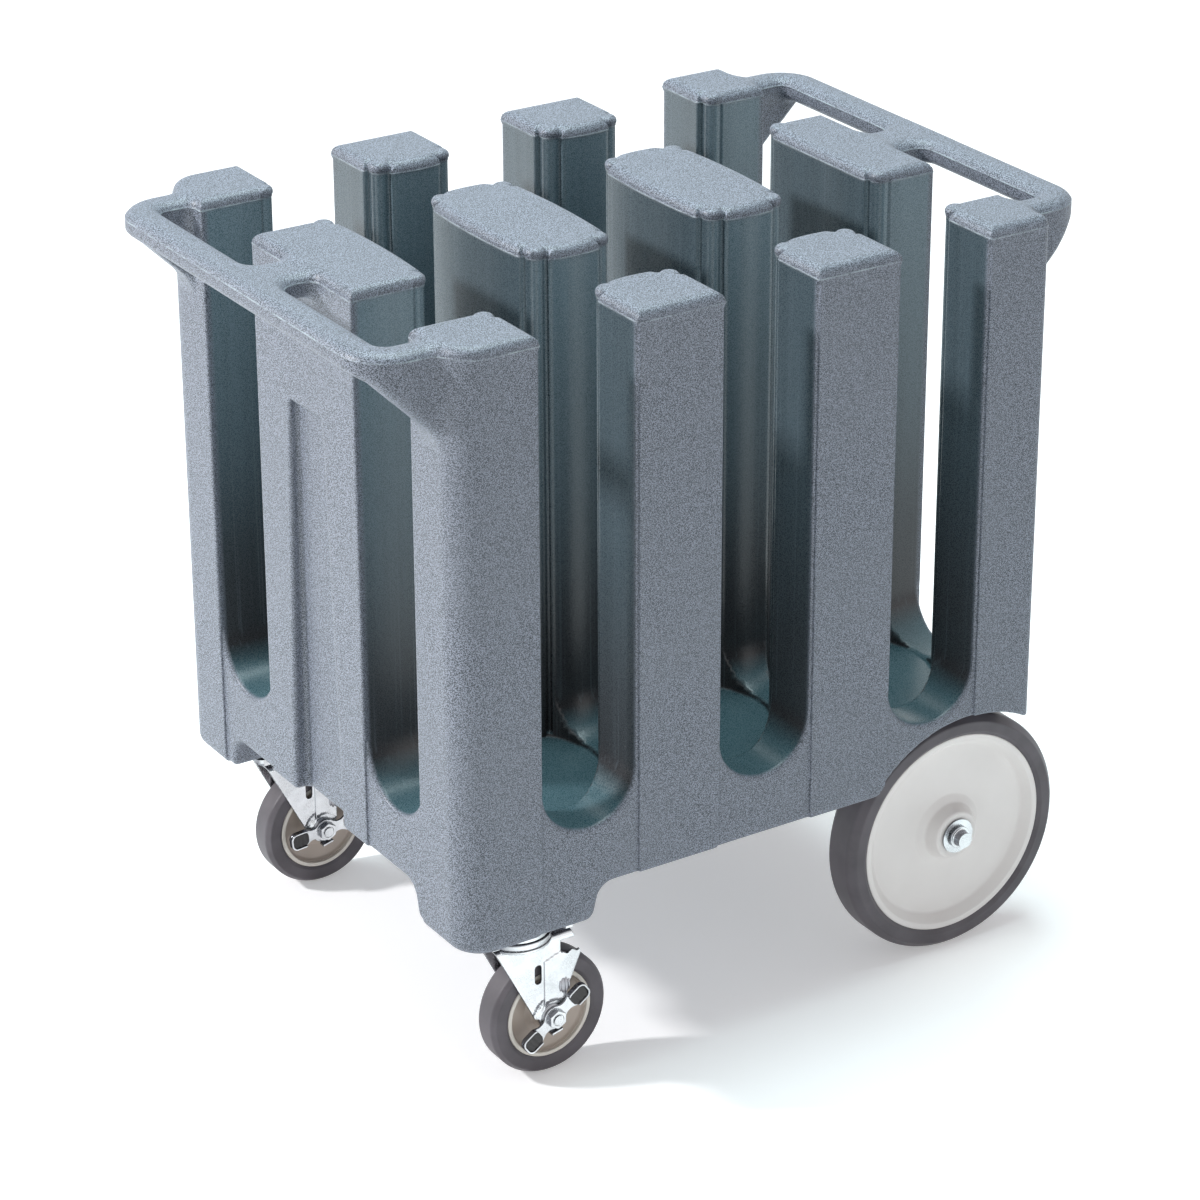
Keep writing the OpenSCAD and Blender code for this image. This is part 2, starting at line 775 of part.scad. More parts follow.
module pedal_pads(side) {
    pad_x = pedal_l / 2 - pad_edge - pad_l / 2;
    color(pad_black) in_pedal(side) translate([0, 0, pedal_t]) linear_extrude(pad_t)
        for (x = ENDS) translate([x * pad_x, 0]) square([pad_l, pad_w], center = true);
}

// Rear wheels

// Turns Z outwards along the axle on one side
module at_wheel(side) {
    translate([axle_x, 0, wheel_r]) rotate([-90 * side, 0, 0]) children();
}

module rear_axle() {
    color(zinc) translate([axle_x, 0, wheel_r]) rotate([90, 0, 0])
        cylinder(r = axle_r, h = axle_l, center = true);
}

// Bracket leg in X and Z, from the underside down to the axle
module bracket_outline() {
    difference() {
        union() {
            polygon([[-bracket_l / 2, underside_z - bracket_t], [-bracket_edge_r, wheel_r],
                [bracket_edge_r, wheel_r], [bracket_l / 2, underside_z - bracket_t],
                [bracket_l / 2, underside_z], [-bracket_l / 2, underside_z]]);
            translate([0, wheel_r]) circle(bracket_edge_r);
        }
        translate([0, wheel_r]) circle(axle_r + fit_gap);
    }
}

module axle_bracket(side) {
    color(steel) translate([axle_x, side * bracket_y, 0]) difference() {
        union() {
            translate([-bracket_l / 2, -bracket_w / 2, underside_z - bracket_t])
                cube([bracket_l, bracket_w, bracket_t]);
            for (y = [-bracket_w / 2 + bracket_t, bracket_w / 2]) translate([0, y, 0])
                rotate([90, 0, 0]) linear_extrude(bracket_t) bracket_outline();
        }
        for (x = [-1, 1], y = [-1, 1])
            translate([x * bracket_bolt_l / 2, y * bracket_bolt_w / 2, underside_z - bracket_t - over])
                cylinder(r = plate_hole_r, h = bracket_t + 2 * over);
    }
}

// Tubes between the brackets and the wheels
module axle_spacers() {
    from_y = bracket_y + bracket_w / 2;
    to_y = hub_in_y - run_gap - washer_t;
    color(steel) for (s = SIDES) at_wheel(s) translate([0, 0, from_y]) difference() {
        cylinder(r = axle_r + fit_gap + spacer_t, h = to_y - from_y);
        translate([0, 0, -over]) cylinder(r = axle_r + fit_gap, h = to_y - from_y + 2 * over);
    }
}

module washer_at(z) {
    translate([0, 0, z]) difference() {
        cylinder(r = washer_r, h = washer_t);
        translate([0, 0, -over]) cylinder(r = axle_r + fit_gap, h = washer_t + 2 * over);
    }
}

module axle_washers() {
    color(zinc) for (s = SIDES) at_wheel(s) {
        washer_at(hub_in_y - run_gap - washer_t);
        washer_at(hub_out_y + run_gap);
    }
}

// Push-on caps that hold the wheels on the axle
module axle_caps() {
    color(zinc) for (s = SIDES) at_wheel(s) translate([0, 0, hub_out_y + run_gap + washer_t]) difference() {
        cylinder(r1 = cap_r, r2 = axle_r + spacer_t, h = cap_h);
        translate([0, 0, -over]) cylinder(r = axle_r, h = cap_h + 2 * over);
    }
}

// Half section of a wheel disc: rim, dished web, boss and inner hub
module disc_section() {
    bore = axle_r + fit_gap + bush_t;
    dish_y = disc_face_y - dish_depth;
    web_y = dish_y - disc_web_t;
    dish_r = disc_r - dish_edge_w;
    translate([disc_r - disc_rim_t, disc_face_y - disc_rim_w]) square([disc_rim_t, disc_rim_w]);
    translate([bore, hub_in_y]) square([hub_in_r - bore, hub_out_y - hub_in_y]);
    polygon([[bore, web_y], [disc_r, web_y], [disc_r, disc_face_y], [dish_r + dish_slope_w, disc_face_y],
        [dish_r, dish_y], [boss_r, dish_y], [boss_tip_r, hub_out_y], [bore, hub_out_y]]);
}

module wheel_disc(side) {
    color(disc_white) at_wheel(side) rotate_extrude($fn = 128) disc_section();
}

module wheel_tyre(side) {
    color(tyre_grey) at_wheel(side) translate([0, 0, wheel_mid_y]) rotate_extrude($fn = 128)
        tyre_section(disc_r, wheel_r, wheel_w, wheel_edge_r);
}

module wheel_bushes(side) {
    color(pad_black) at_wheel(side) for (z = [hub_in_y, hub_out_y - bush_l]) translate([0, 0, z]) difference() {
        cylinder(r = axle_r + fit_gap + bush_t, h = bush_l);
        translate([0, 0, -over]) cylinder(r = axle_r + fit_gap, h = bush_l + 2 * over);
    }
}

body();
threaded_inserts();
caster_plate(RIGHT);  // caster_plate_right
plate_bolts(RIGHT);  // plate_bolts_right
race_balls(RIGHT);  // race_balls_right
king_pin(RIGHT);  // king_pin_right
king_nut(RIGHT);  // king_nut_right
fork(RIGHT);  // fork_right
brake_cam(RIGHT);  // brake_cam_right
axle_bolt(RIGHT);  // axle_bolt_right
axle_nut(RIGHT);  // axle_nut_right
bearing_sleeve(RIGHT);  // bearing_sleeve_right
caster_hub(RIGHT);  // caster_hub_right
caster_tyre(RIGHT);  // caster_tyre_right
brake_pedal(RIGHT);  // brake_pedal_right
pedal_pads(RIGHT);  // pedal_pads_right
caster_plate(LEFT);  // caster_plate_left
plate_bolts(LEFT);  // plate_bolts_left
race_balls(LEFT);  // race_balls_left
king_pin(LEFT);  // king_pin_left
king_nut(LEFT);  // king_nut_left
fork(LEFT);  // fork_left
brake_cam(LEFT);  // brake_cam_left
axle_bolt(LEFT);  // axle_bolt_left
axle_nut(LEFT);  // axle_nut_left
bearing_sleeve(LEFT);  // bearing_sleeve_left
caster_hub(LEFT);  // caster_hub_left
caster_tyre(LEFT);  // caster_tyre_left
brake_pedal(LEFT);  // brake_pedal_left
pedal_pads(LEFT);  // pedal_pads_left
rear_axle();
axle_bracket(RIGHT);  // axle_bracket_right
axle_bracket(LEFT);  // axle_bracket_left
bracket_bolts();
axle_spacers();
wheel_disc(RIGHT);  // wheel_disc_right
wheel_tyre(RIGHT);  // wheel_tyre_right
wheel_bushes(RIGHT);  // wheel_bushes_right
wheel_disc(LEFT);  // wheel_disc_left
wheel_tyre(LEFT);  // wheel_tyre_left
wheel_bushes(LEFT);  // wheel_bushes_left
axle_washers();
axle_caps();
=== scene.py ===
import json
from math import acos, asin, atan2, cos, pi, radians, sin, sqrt, tan

import bpy
import numpy as np
from mathutils import Matrix, Vector


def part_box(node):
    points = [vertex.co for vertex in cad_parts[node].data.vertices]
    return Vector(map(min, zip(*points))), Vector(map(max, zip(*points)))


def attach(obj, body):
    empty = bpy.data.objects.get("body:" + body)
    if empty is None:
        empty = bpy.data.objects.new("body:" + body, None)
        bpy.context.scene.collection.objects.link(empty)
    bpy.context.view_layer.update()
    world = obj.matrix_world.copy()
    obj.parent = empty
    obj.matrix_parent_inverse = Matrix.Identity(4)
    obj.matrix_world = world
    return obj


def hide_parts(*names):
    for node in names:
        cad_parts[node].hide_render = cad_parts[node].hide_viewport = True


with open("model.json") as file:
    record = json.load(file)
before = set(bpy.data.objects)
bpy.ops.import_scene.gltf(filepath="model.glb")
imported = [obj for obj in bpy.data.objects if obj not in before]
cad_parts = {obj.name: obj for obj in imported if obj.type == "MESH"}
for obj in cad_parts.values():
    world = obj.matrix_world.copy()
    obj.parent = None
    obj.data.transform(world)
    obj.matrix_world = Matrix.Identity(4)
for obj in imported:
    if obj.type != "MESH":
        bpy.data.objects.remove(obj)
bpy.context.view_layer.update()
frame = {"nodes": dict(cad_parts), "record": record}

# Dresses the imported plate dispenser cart: rounded moulded body, casters and wheels.
# Shapes are worked out in millimetres in the frame of the solids and scaled to metres.
# X runs from the caster end to the wheel end, Y across, Z up from the floor.

MM = 0.001

SIDES = {"right": -1, "left": 1}  # the side of a piece, as the sign of its Y


def mm_box(node):
    """Lowest and highest corner of a CAD node in millimetres."""
    low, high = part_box(node)
    return np.array(low) / MM, np.array(high) / MM


# ---- Camera at the photograph's angle

IMAGE_SIDE = 1200
SENSOR = 36.0
FOCAL_PX = 4000.0
PRINCIPAL_PX = (610.0, 528.0)
CAMERA_AT = Vector((-1.9348, -3.0178, 2.0282))
CAMERA_PITCH, CAMERA_ROLL, CAMERA_YAW = 0.42029, 0.00256, 0.57239


def add_camera():
    ahead = Vector((sin(CAMERA_YAW) * cos(CAMERA_PITCH),
                    cos(CAMERA_YAW) * cos(CAMERA_PITCH), -sin(CAMERA_PITCH)))
    level = Vector((cos(CAMERA_YAW), -sin(CAMERA_YAW), 0))
    below = ahead.cross(level)
    right = level * cos(CAMERA_ROLL) + below * sin(CAMERA_ROLL)
    down = below * cos(CAMERA_ROLL) - level * sin(CAMERA_ROLL)
    data = bpy.data.cameras.new("photo_camera")
    data.sensor_width = SENSOR
    data.lens = SENSOR * FOCAL_PX / IMAGE_SIDE
    data.shift_x = (IMAGE_SIDE / 2 - PRINCIPAL_PX[0]) / IMAGE_SIDE
    data.shift_y = (PRINCIPAL_PX[1] - IMAGE_SIDE / 2) / IMAGE_SIDE
    camera = bpy.data.objects.new("photo_camera", data)
    bpy.context.scene.collection.objects.link(camera)
    facing = Matrix((right, -down, -ahead)).transposed()
    camera.matrix_world = Matrix.Translation(CAMERA_AT) @ facing.to_4x4()
    bpy.context.scene.camera = camera


add_camera()


# ---- Sizes of the body, as in the solids

LENGTH, WIDTH, TOP = 649.0, 552.0, 770.0
SLOT, TIP_SLOT = 101.0, 92.0  # slots through the sides, and gaps between the tips of inner posts
POST, FIRST_POST, CENTRE_POST_W = 94.5, 85.0, 186.5
CASTER_CORNER, WHEEL_CORNER = 33.0, 9.0
UNDERSIDE, FOOT = 208.0, 170.0
WELL_R, WELL_FLOOR, SLOT_FLOOR = 84.0, 270.0, 271.5
PITCH = SLOT + POST
WELL_X = -LENGTH / 2 + FIRST_POST + SLOT / 2
WELL_Y = CENTRE_POST_W / 2 + SLOT / 2
RIB_R, RIB_SET = 9.0, 4.0  # the middle of a rib lies this far behind the wall of the well
RIB_ANGLE = (acos(SLOT / 2 / WELL_R) + asin(TIP_SLOT / 2 / WELL_R)) / 2
PANEL_RECESS, REBATE = 2.7, 2.2  # the rebate is the narrow step beside the side slots
REACH, BAR, BAR_H, BAR_ROUND = 71.0, 34.0, 26.0, 14.0
HANDLE_W, HANDLE_CORNER, BRIDGE_W = 492.0, 45.0, 54.0
HANDLE_ROOT = 30  # how far the handle reaches into the posts
GUSSET = 62.0
ARCH_R, ARCH_X, ARCH_Z, ARCH_IN = 138.0, 252.0, 127.0, 196.0
GROOVE_TOP_Z, GROOVE_TOP_W, GROOVE_FOOT_W = 625.0, 60.0, 92.0
GROOVE_DEPTH, GROOVE_DEEPER = 9.0, 6  # at its top, and what its foot is deeper than that
FOOT_X, FOOT_Y = -185.5, 183.0  # inner edges of the caster feet
FOOT_RISE, FOOT_RUN, FOOT_SLANT = 38, 9, 39.05  # slope of the sides of the feet

# ---- Roundings and small forms of the body that only the look has

PARTING = 760.0
SEAM_RISE, SEAM_HALF = 0.6, 0.8
TOP_ROUND, UNDER_ROUND, FOOT_ROUND, WELL_ROUND = 10.0, 13, 12, 3
EDGE_ROUND, LIP_ROUND = 2.0, 5.0  # edges of the posts, and of the round bottoms of the slots
LIP_START, LIP_SPAN = 0.55, 30  # where one goes over into the other, in slot widths and mm
RIDGE, CENTRE_FLAT, INNER_BULGE = 3.5, 16, 29  # the faces of the inner posts bulge
VALLEY_R, VALLEY_TURN, VALLEY_RISE = 2.6, radians(7.0), 4
KNOB_FLARE, KNOB_ROUND, KNOB_NECK, KNOB_DROP = 1.4, 5.5, 3, 0.3
PANEL_BELOW = 4  # the side panels end this far under the parting line
SIDE_PANEL_EDGE, END_PANEL_EDGE = 0.9, 1.2
GROOVE_CORNER, GROOVE_HEAD = 5, 1.5
GROOVE_EDGE, GROOVE_EDGE_MORE, GROOVE_EDGE_SPAN = 1.2, 2.8, 14
BRIDGE_FILLET, GUSSET_FILLET, POST_FILLET, RIB_FILLET = 16, 7, 11, 0.6
GUSSET_EDGE, BAR_EDGE, VALLEY_EDGE, ARCH_EDGE, HOLLOW_EDGE = 5, 8, 0.8, 3, 6


# ---- Materials

class Nodes:
    """A new material, with short names for the few shader nodes that build it."""

    def __init__(self, name):
        self.material = bpy.data.materials.new(name)
        self.material.use_nodes = True
        self.tree = self.material.node_tree
        self.shader = self.tree.nodes["Principled BSDF"]
        self.where = self.tree.nodes.new("ShaderNodeTexCoord").outputs["Object"]

    def link(self, a, b):
        self.tree.links.new(a, b)

    def mapped(self, scale, turn=(0, 0, 0)):
        """Scaled places; a turn keeps flat faces off the noise lattice, where the noise fades."""
        node = self.tree.nodes.new("ShaderNodeMapping")
        node.inputs["Scale"].default_value = scale
        node.inputs["Rotation"].default_value = turn
        self.link(self.where, node.inputs["Vector"])
        return node.outputs["Vector"]

    def noise(self, scale, detail=2.0, rough=0.5, vector=None):
        node = self.tree.nodes.new("ShaderNodeTexNoise")
        node.inputs["Scale"].default_value = scale
        node.inputs["Detail"].default_value = detail
        node.inputs["Roughness"].default_value = rough
        self.link(vector or self.where, node.inputs["Vector"])
        return node.outputs["Fac"]

    def bands(self, value, low, high, to_low=0.0, to_high=1.0):
        """A value brought from the range low..high to the range to_low..to_high, and held there."""
        node = self.tree.nodes.new("ShaderNodeMapRange")
        node.inputs["From Min"].default_value = low
        node.inputs["From Max"].default_value = high
        node.inputs["To Min"].default_value = to_low
        node.inputs["To Max"].default_value = to_high
        self.link(value, node.inputs["Value"])
        return node.outputs["Result"]

    def mix(self, factor, a, b):
        """Colour a where the factor is 0, and b where it is 1."""
        node = self.tree.nodes.new("ShaderNodeMix")
        node.data_type = "RGBA"
        for socket, value in ((node.inputs["A"], a), (node.inputs["B"], b)):
            if isinstance(value, tuple):
                socket.default_value = (*value, 1)
            else:
                self.link(value, socket)
        self.link(factor, node.inputs["Factor"])
        return node.outputs["Result"]

    def maths(self, operation, a, b=0.0):
        node = self.tree.nodes.new("ShaderNodeMath")
        node.operation = operation
        for socket, value in zip(node.inputs, (a, b)):
            if isinstance(value, (int, float)):
                socket.default_value = value
            else:
                self.link(value, socket)
        return node.outputs["Value"]

    def split(self, vector, axis):
        node = self.tree.nodes.new("ShaderNodeSeparateXYZ")
        self.link(vector, node.inputs["Vector"])
        return node.outputs[axis]

    def facing(self, axis):
        """How far the surface faces along an axis of its piece, from 0 to 1."""
        normal = self.tree.nodes.new("ShaderNodeTexCoord").outputs["Normal"]
        return self.maths("ABSOLUTE", self.split(normal, axis))

    def attribute(self, name):
        node = self.tree.nodes.new("ShaderNodeAttribute")
        node.attribute_name = name
        return node.outputs["Fac"]

    def bump(self, height, strength, distance, before=None):
        node = self.tree.nodes.new("ShaderNodeBump")
        node.inputs["Strength"].default_value = strength
        node.inputs["Distance"].default_value = distance
        self.link(height, node.inputs["Height"])
        if before:
            self.link(before, node.inputs["Normal"])
        return node.outputs["Normal"]

    def finish(self, color, roughness, normal, **fixed):
        self.link(color, self.shader.inputs["Base Color"])
        self.link(roughness, self.shader.inputs["Roughness"])
        self.link(normal, self.shader.inputs["Normal"])
        for name, value in fixed.items():
            self.shader.inputs[name.replace("_", " ")].default_value = value
        return self.material


# Colours of the moulded plastic: outside; well walls, teal and darker than the outside partly as
# painted shade; lighter lit copies of them as painted light near their tops; a painted shade deep down;
# floors
SKIN_DARK, SKIN_LIGHT = (0.028, 0.037, 0.048), (0.252, 0.277, 0.336)
SKIN_CLOUD = (0.150, 0.168, 0.197)
WALL_DARK, WALL_LIGHT, WALL_SPECK = (0.038, 0.058, 0.070), (0.056, 0.082, 0.098), (0.110, 0.145, 0.168)
PAINTED_DEEP_SHADE = (0.034, 0.031, 0.033)
LIT_DARK, LIT_LIGHT, LIT_SPECK = (0.086, 0.142, 0.170), (0.122, 0.185, 0.218), (0.300, 0.380, 0.430)
SCORED = (0.200, 0.240, 0.270)
FLOOR_DARK, FLOOR_LIGHT = (0.040, 0.092, 0.112), (0.088, 0.146, 0.168)
SEAM_PALE = (0.42, 0.50, 0.53)
DEEP_M, SHALLOW_M = 0.28, 0.54  # heights in metres between which the walls darken, a painted shade deep in the wells


def moulded_plastic():
    """Speckled grey-blue plastic with an orange-peel grain, smoother and teal inside the wells, with
    painted light, painted shade and painted sheen on the well walls.
    """
    n = Nodes("moulded_blue")
    inner = n.attribute("inner")
    grain = n.noise(1, detail=1, vector=n.mapped((1200, 700, 1200), turn=(0.6, 0.4, 0.5)))
    cloud = n.noise(9, detail=3)
    streaks = n.noise(1, detail=3, vector=n.mapped((95, 95, 3)))
    scored = n.noise(1, detail=2, vector=n.mapped((330, 330, 2.2), turn=(0, 0, 0.5)))
    speckle = n.bands(grain, 0.44, 0.56)
    height = n.split(n.where, "Z")

    outside = n.mix(speckle, SKIN_DARK, SKIN_LIGHT)
    outside = n.mix(n.bands(cloud, 0.35, 0.65, 0.0, 0.25), outside, SKIN_CLOUD)

    # Painted sheen: lighter upright streaks in the wall colour; the same streak noise also bumps the
    # surface below.
    painted_sheen_streaks = n.bands(streaks, 0.30, 0.70)
    walls = n.mix(painted_sheen_streaks, WALL_DARK, WALL_LIGHT)
    walls = n.mix(n.bands(speckle, 0.0, 1.0, 0.0, 0.40), walls, WALL_SPECK)
    # Painted shade: the walls darken towards the well floors.
    walls = n.mix(n.bands(height, DEEP_M, SHALLOW_M), PAINTED_DEEP_SHADE, walls)
    # Painted light: a lighter copy of the wall colours, for walls that don't face along X, more towards
    # their tops.
    lit = n.mix(painted_sheen_streaks, LIT_DARK, LIT_LIGHT)
    lit = n.mix(n.bands(speckle, 0.0, 1.0, 0.0, 0.50), lit, LIT_SPECK)
    inside = n.mix(n.attribute("painted_light"), walls, lit)
    inside = n.mix(n.bands(scored, 0.58, 0.70, 0.0, 0.20), inside, SCORED)
    floors = n.mix(speckle, FLOOR_DARK, FLOOR_LIGHT)
    inside = n.mix(n.attribute("floor"), inside, floors)

    # A pale line along the parting line, broken up by noise along its length.
    off_seam = n.maths("ABSOLUTE", n.maths("SUBTRACT", height, PARTING * MM))
    seam_breaks = n.bands(n.noise(60, detail=2), 0.35, 0.65, 0.05, 0.55)
    seam = n.maths("MULTIPLY", n.bands(off_seam, 0.0009, 0.0003), seam_breaks)
    color = n.mix(seam, n.mix(inner, outside, inside), SEAM_PALE)

    rough = n.bands(inner, 0.0, 1.0, 0.46, 0.28)
    rough = n.maths("ADD", rough, n.bands(grain, 0.3, 0.7, -0.06, 0.08))
    normal = n.bump(n.noise(380, detail=2), 0.30, 0.0006)
    normal = n.bump(streaks, 0.06, 0.0006, before=normal)
    return n.finish(color, rough, normal, Specular_IOR_Level=0.5)


def rubber(name, base):
    """Matt rubber with worn patches and a fine grain."""
    n = Nodes(name)
    fine = n.noise(700, detail=3)
    wear = n.noise(30, detail=4)
    light = tuple(value * 1.35 + 0.01 for value in base)
    color = n.mix(n.bands(wear, 0.35, 0.65), base, light)
    rough = n.bands(wear, 0.3, 0.7, 0.42, 0.60)
    return n.finish(color, rough, n.bump(fine, 0.15, 0.0003), Specular_IOR_Level=0.45)


def moulded(name, dark, light, low=0.28, high=0.42):
    """Plain moulded plastic with faint clouding, its roughness between low and high."""
    n = Nodes(name)
    cloud = n.noise(14, detail=4)
    fine = n.noise(420, detail=2)
    color = n.mix(n.bands(cloud, 0.3, 0.7), dark, light)
    rough = n.bands(cloud, 0.3, 0.7, low, high)
    return n.finish(color, rough, n.bump(fine, 0.06, 0.0003), Specular_IOR_Level=0.5)


def metal(name, base, low, high, brushed=(90, 90, 90), edges=0.0):
    """Bare or plated metal: uneven tone, fine scratches, dull patches, and a painted shade on sides and
    roundings that turn away from the Y axis.
    """
    n = Nodes(name)
    patches = n.noise(45, detail=4)
    scratches = n.noise(8, detail=3, vector=n.mapped(brushed))
    dull = tuple(value * 0.78 for value in base)
    color = n.mix(n.bands(patches, 0.35, 0.7), base, dull)
    # Painted shade: faces that turn away from Y, such as sheet edges, roundings and sides, are
    # darkened.
    if edges:
        edge = n.bands(n.facing("Y"), 0.96, 0.60, 0.0, edges)
        color = n.mix(edge, color, (0.11, 0.11, 0.13))
    rough = n.maths("ADD", n.bands(patches, 0.3, 0.7, low, high),
                    n.bands(scratches, 0.3, 0.7, -0.03, 0.05))
    return n.finish(color, rough, n.bump(scratches, 0.05, 0.0002), Metallic=1.0)


MATERIALS = {
    "moulded_blue": moulded_plastic(),
    # zinc gets the painted shade on its sides and roundings
    "zinc": metal("zinc", (0.80, 0.82, 0.84), 0.16, 0.32, edges=0.85),
    "steel": metal("steel", (0.52, 0.52, 0.54), 0.30, 0.46, brushed=(20, 300, 300)),
    "brass": metal("brass", (0.70, 0.52, 0.24), 0.25, 0.40),
    "tyre": rubber("tyre_grey", (0.074, 0.066, 0.075)),
    "zinc_dull": metal("zinc_dull", (0.42, 0.42, 0.45), 0.28, 0.40),
    "hub_plastic": moulded("hub_tan", (0.400, 0.335, 0.285), (0.500, 0.430, 0.375)),
    "hub_cream": moulded("hub_cream", (0.640, 0.600, 0.540), (0.720, 0.680, 0.620)),
    "disc_white": moulded("disc_white", (0.740, 0.705, 0.685), (0.800, 0.765, 0.745), 0.30, 0.40),
    "dark_plastic": moulded("dark_plastic", (0.022, 0.021, 0.022), (0.040, 0.038, 0.038), 0.35, 0.5),
}

SLOT_OF = {part["node"]: part["material_slot"] for part in frame["record"]["subparts"]}
for node, thing in frame["nodes"].items():
    thing.data.materials.clear()
    thing.data.materials.append(MATERIALS[SLOT_OF[node]])


# ---- Pieces

def add_piece(name, points, faces, normals, material, body, replaced=()):
    """A mesh piece that rides on a body; points are in millimetres."""
    mesh = bpy.data.meshes.new(name)
    mesh.from_pydata((points * MM).tolist(), [], faces.tolist())
    mesh.polygons.foreach_set("use_smooth", [True] * len(mesh.polygons))
    mesh.normals_split_custom_set_from_vertices(normals.tolist())
    mesh.materials.append(MATERIALS[material])
    piece = bpy.data.objects.new(name, mesh)
    bpy.context.scene.collection.objects.link(piece)
    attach(piece, body)
    if replaced:
        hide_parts(*replaced)
    return piece


# ---- Distance fields: negative inside a piece, positive outside

def rounded_max(a, b, r):
    """Intersection of two fields with its edge rounded to radius r."""
    return np.minimum(-r, np.maximum(a, b)) + np.hypot(np.maximum(a + r, 0), np.maximum(b + r, 0))


def rounded_min(a, b, r):
    """Union of two fields with a fillet of radius r."""
    return -rounded_max(-a, -b, r)


def cut(body, hole, r):
    """A body with a hole taken out, the edge of the hole rounded to radius r."""
    return rounded_max(body, -hole, r)


def common(first, *others):
    """Intersection of fields with sharp edges."""
    for other in others:
        first = np.maximum(first, other)
    return first


def rounded_box(x, y, half_x, half_y, r):
    """Plane field of a rectangle with round corners."""
    u = np.abs(x) - half_x + r
    v = np.abs(y) - half_y + r
    return np.hypot(np.maximum(u, 0), np.maximum(v, 0)) + np.minimum(np.maximum(u, v), 0) - r


def sheet(place, low, thickness):
    """Field of a flat layer from low to low + thickness."""
    return np.abs(place - low - thickness / 2) - thickness / 2


def portion(value):
    """A value held between 0 and 1."""
    return np.clip(value, 0, 1)


def planes(*runs):
    """Grid planes from runs of (start, end, step); a run starts where the last one ends."""
    made = [np.array([runs[0][0]])]
    for start, end, step in runs:
        count = max(1, round((end - start) / step))
        made.append(np.linspace(start, end, count + 1)[1:])
    return np.concatenate(made)


def even(low, high, step):
    """Grid planes all at one step."""
    return planes((low, high, step))


def surface_net(field, xs, ys, zs):
    """Points and outward quads on the zero level of a field, a point to each crossed grid cell."""
    lines = (xs, ys, zs)
    grid = np.meshgrid(*(line.astype(np.float32) for line in lines), indexing="ij")
    value = field(*grid).astype(np.float32)
    inside = value < 0
    cells = tuple(n - 1 for n in inside.shape)
    ids, spots, flips = [], [], []
    for axis in range(3):
        low = tuple(slice(None, -1) if k == axis else slice(1, -1) for k in range(3))
        high = tuple(slice(1, None) if k == axis else slice(1, -1) for k in range(3))
        at = np.argwhere(inside[low] != inside[high])
        for k in range(3):
            if k != axis:
                at[:, k] += 1
        start = value[tuple(at.T)]
        far = at.copy()
        far[:, axis] += 1
        share = start / (start - value[tuple(far.T)])
        spot = np.stack([lines[k][at[:, k]] for k in range(3)], axis=1)
        spot[:, axis] += share * (lines[axis][far[:, axis]] - lines[axis][at[:, axis]])
        ring = []
        for first, second in ((0, 0), (-1, 0), (-1, -1), (0, -1)):
            cell = at.copy()
            cell[:, (axis + 1) % 3] += first
            cell[:, (axis + 2) % 3] += second
            ring.append(np.ravel_multi_index(tuple(cell.T), cells))
        ids.append(np.stack(ring, axis=1))
        spots.append(np.repeat(spot[:, None, :], 4, axis=1))
        flips.append(start >= 0)
    ids, spots, flips = np.concatenate(ids), np.concatenate(spots), np.concatenate(flips)
    _, index = np.unique(ids.ravel(), return_inverse=True)
    count = np.bincount(index)
    points = [np.bincount(index, weights=spots[:, :, k].ravel()) / count for k in range(3)]
    faces = index.reshape(-1, 4)
    faces[flips] = faces[flips][:, ::-1]
    return np.stack(points, axis=1), faces


def slope_of(field, points, step=0.15):
    """Gradient of a field by central differences."""
    parts = []
    for axis in range(3):
        move = np.zeros(3)
        move[axis] = step
        parts.append((field(*(points + move).T) - field(*(points - move).T)) / (2 * step))
    return np.stack(parts, axis=1)


def settle(field, points, rounds):
    """Moves points onto the zero level and gives their outward normals."""
    for _ in range(rounds):
        slope = slope_of(field, points)
        size = np.maximum((slope ** 2).sum(axis=1), 0.25)
        push = np.clip(field(*points.T) / size, -2.5, 2.5)
        points = points - slope * push[:, None]
    slope = slope_of(field, points)
    return points, slope / np.maximum(np.linalg.norm(slope, axis=1, keepdims=True), 1e-6)


def add_field(name, field, grid, material, body, replaced=()):
    points, faces = surface_net(field, *grid)
    points, normals = settle(field, points, rounds=4)
    return add_piece(name, points, faces, normals, material, body, replaced)


# ---- Body

def trough(across, z, half_w):
    """Field of a channel with a round bottom that opens upwards."""
    return np.hypot(across, np.minimum(z - SLOT_FLOOR - half_w, 0)) - half_w


def block_field(x, y, z, in_x, in_y):
    """Block with round corners, and panels set back at the slots and under them."""
    block = np.where(x < 0, rounded_box(x, y, LENGTH / 2, WIDTH / 2, CASTER_CORNER),
                     rounded_box(x, y, LENGTH / 2, WIDTH / 2, WHEEL_CORNER))
    side_panel = common(np.abs(in_x) - SLOT / 2 - REBATE, WIDTH / 2 - PANEL_RECESS - np.abs(y),
                        z - PARTING + PANEL_BELOW)
    end_panel = common(np.abs(in_y) - SLOT / 2, LENGTH / 2 - PANEL_RECESS - np.abs(x),
                       z - SLOT_FLOOR - SLOT / 2)
    return cut(cut(block, side_panel, SIDE_PANEL_EDGE), end_panel, END_PANEL_EDGE)


def cut_groove(body, x, y_off, z):
    """Cuts the groove of the caster end, which is wider and deeper at its foot."""
    fall = portion((GROOVE_TOP_Z - z) / (GROOVE_TOP_Z - UNDERSIDE))
    half = (GROOVE_TOP_W + (GROOVE_FOOT_W - GROOVE_TOP_W) * fall) / 2
    floor = x + LENGTH / 2 - GROOVE_DEPTH - GROOVE_DEEPER * fall
    groove = rounded_max(y_off - half, floor, GROOVE_CORNER)
    groove = rounded_max(groove, z - GROOVE_TOP_Z, GROOVE_HEAD)
    more = GROOVE_EDGE_MORE * portion((GROOVE_TOP_Z - z) / GROOVE_EDGE_SPAN)
    return cut(body, groove, GROOVE_EDGE + more)


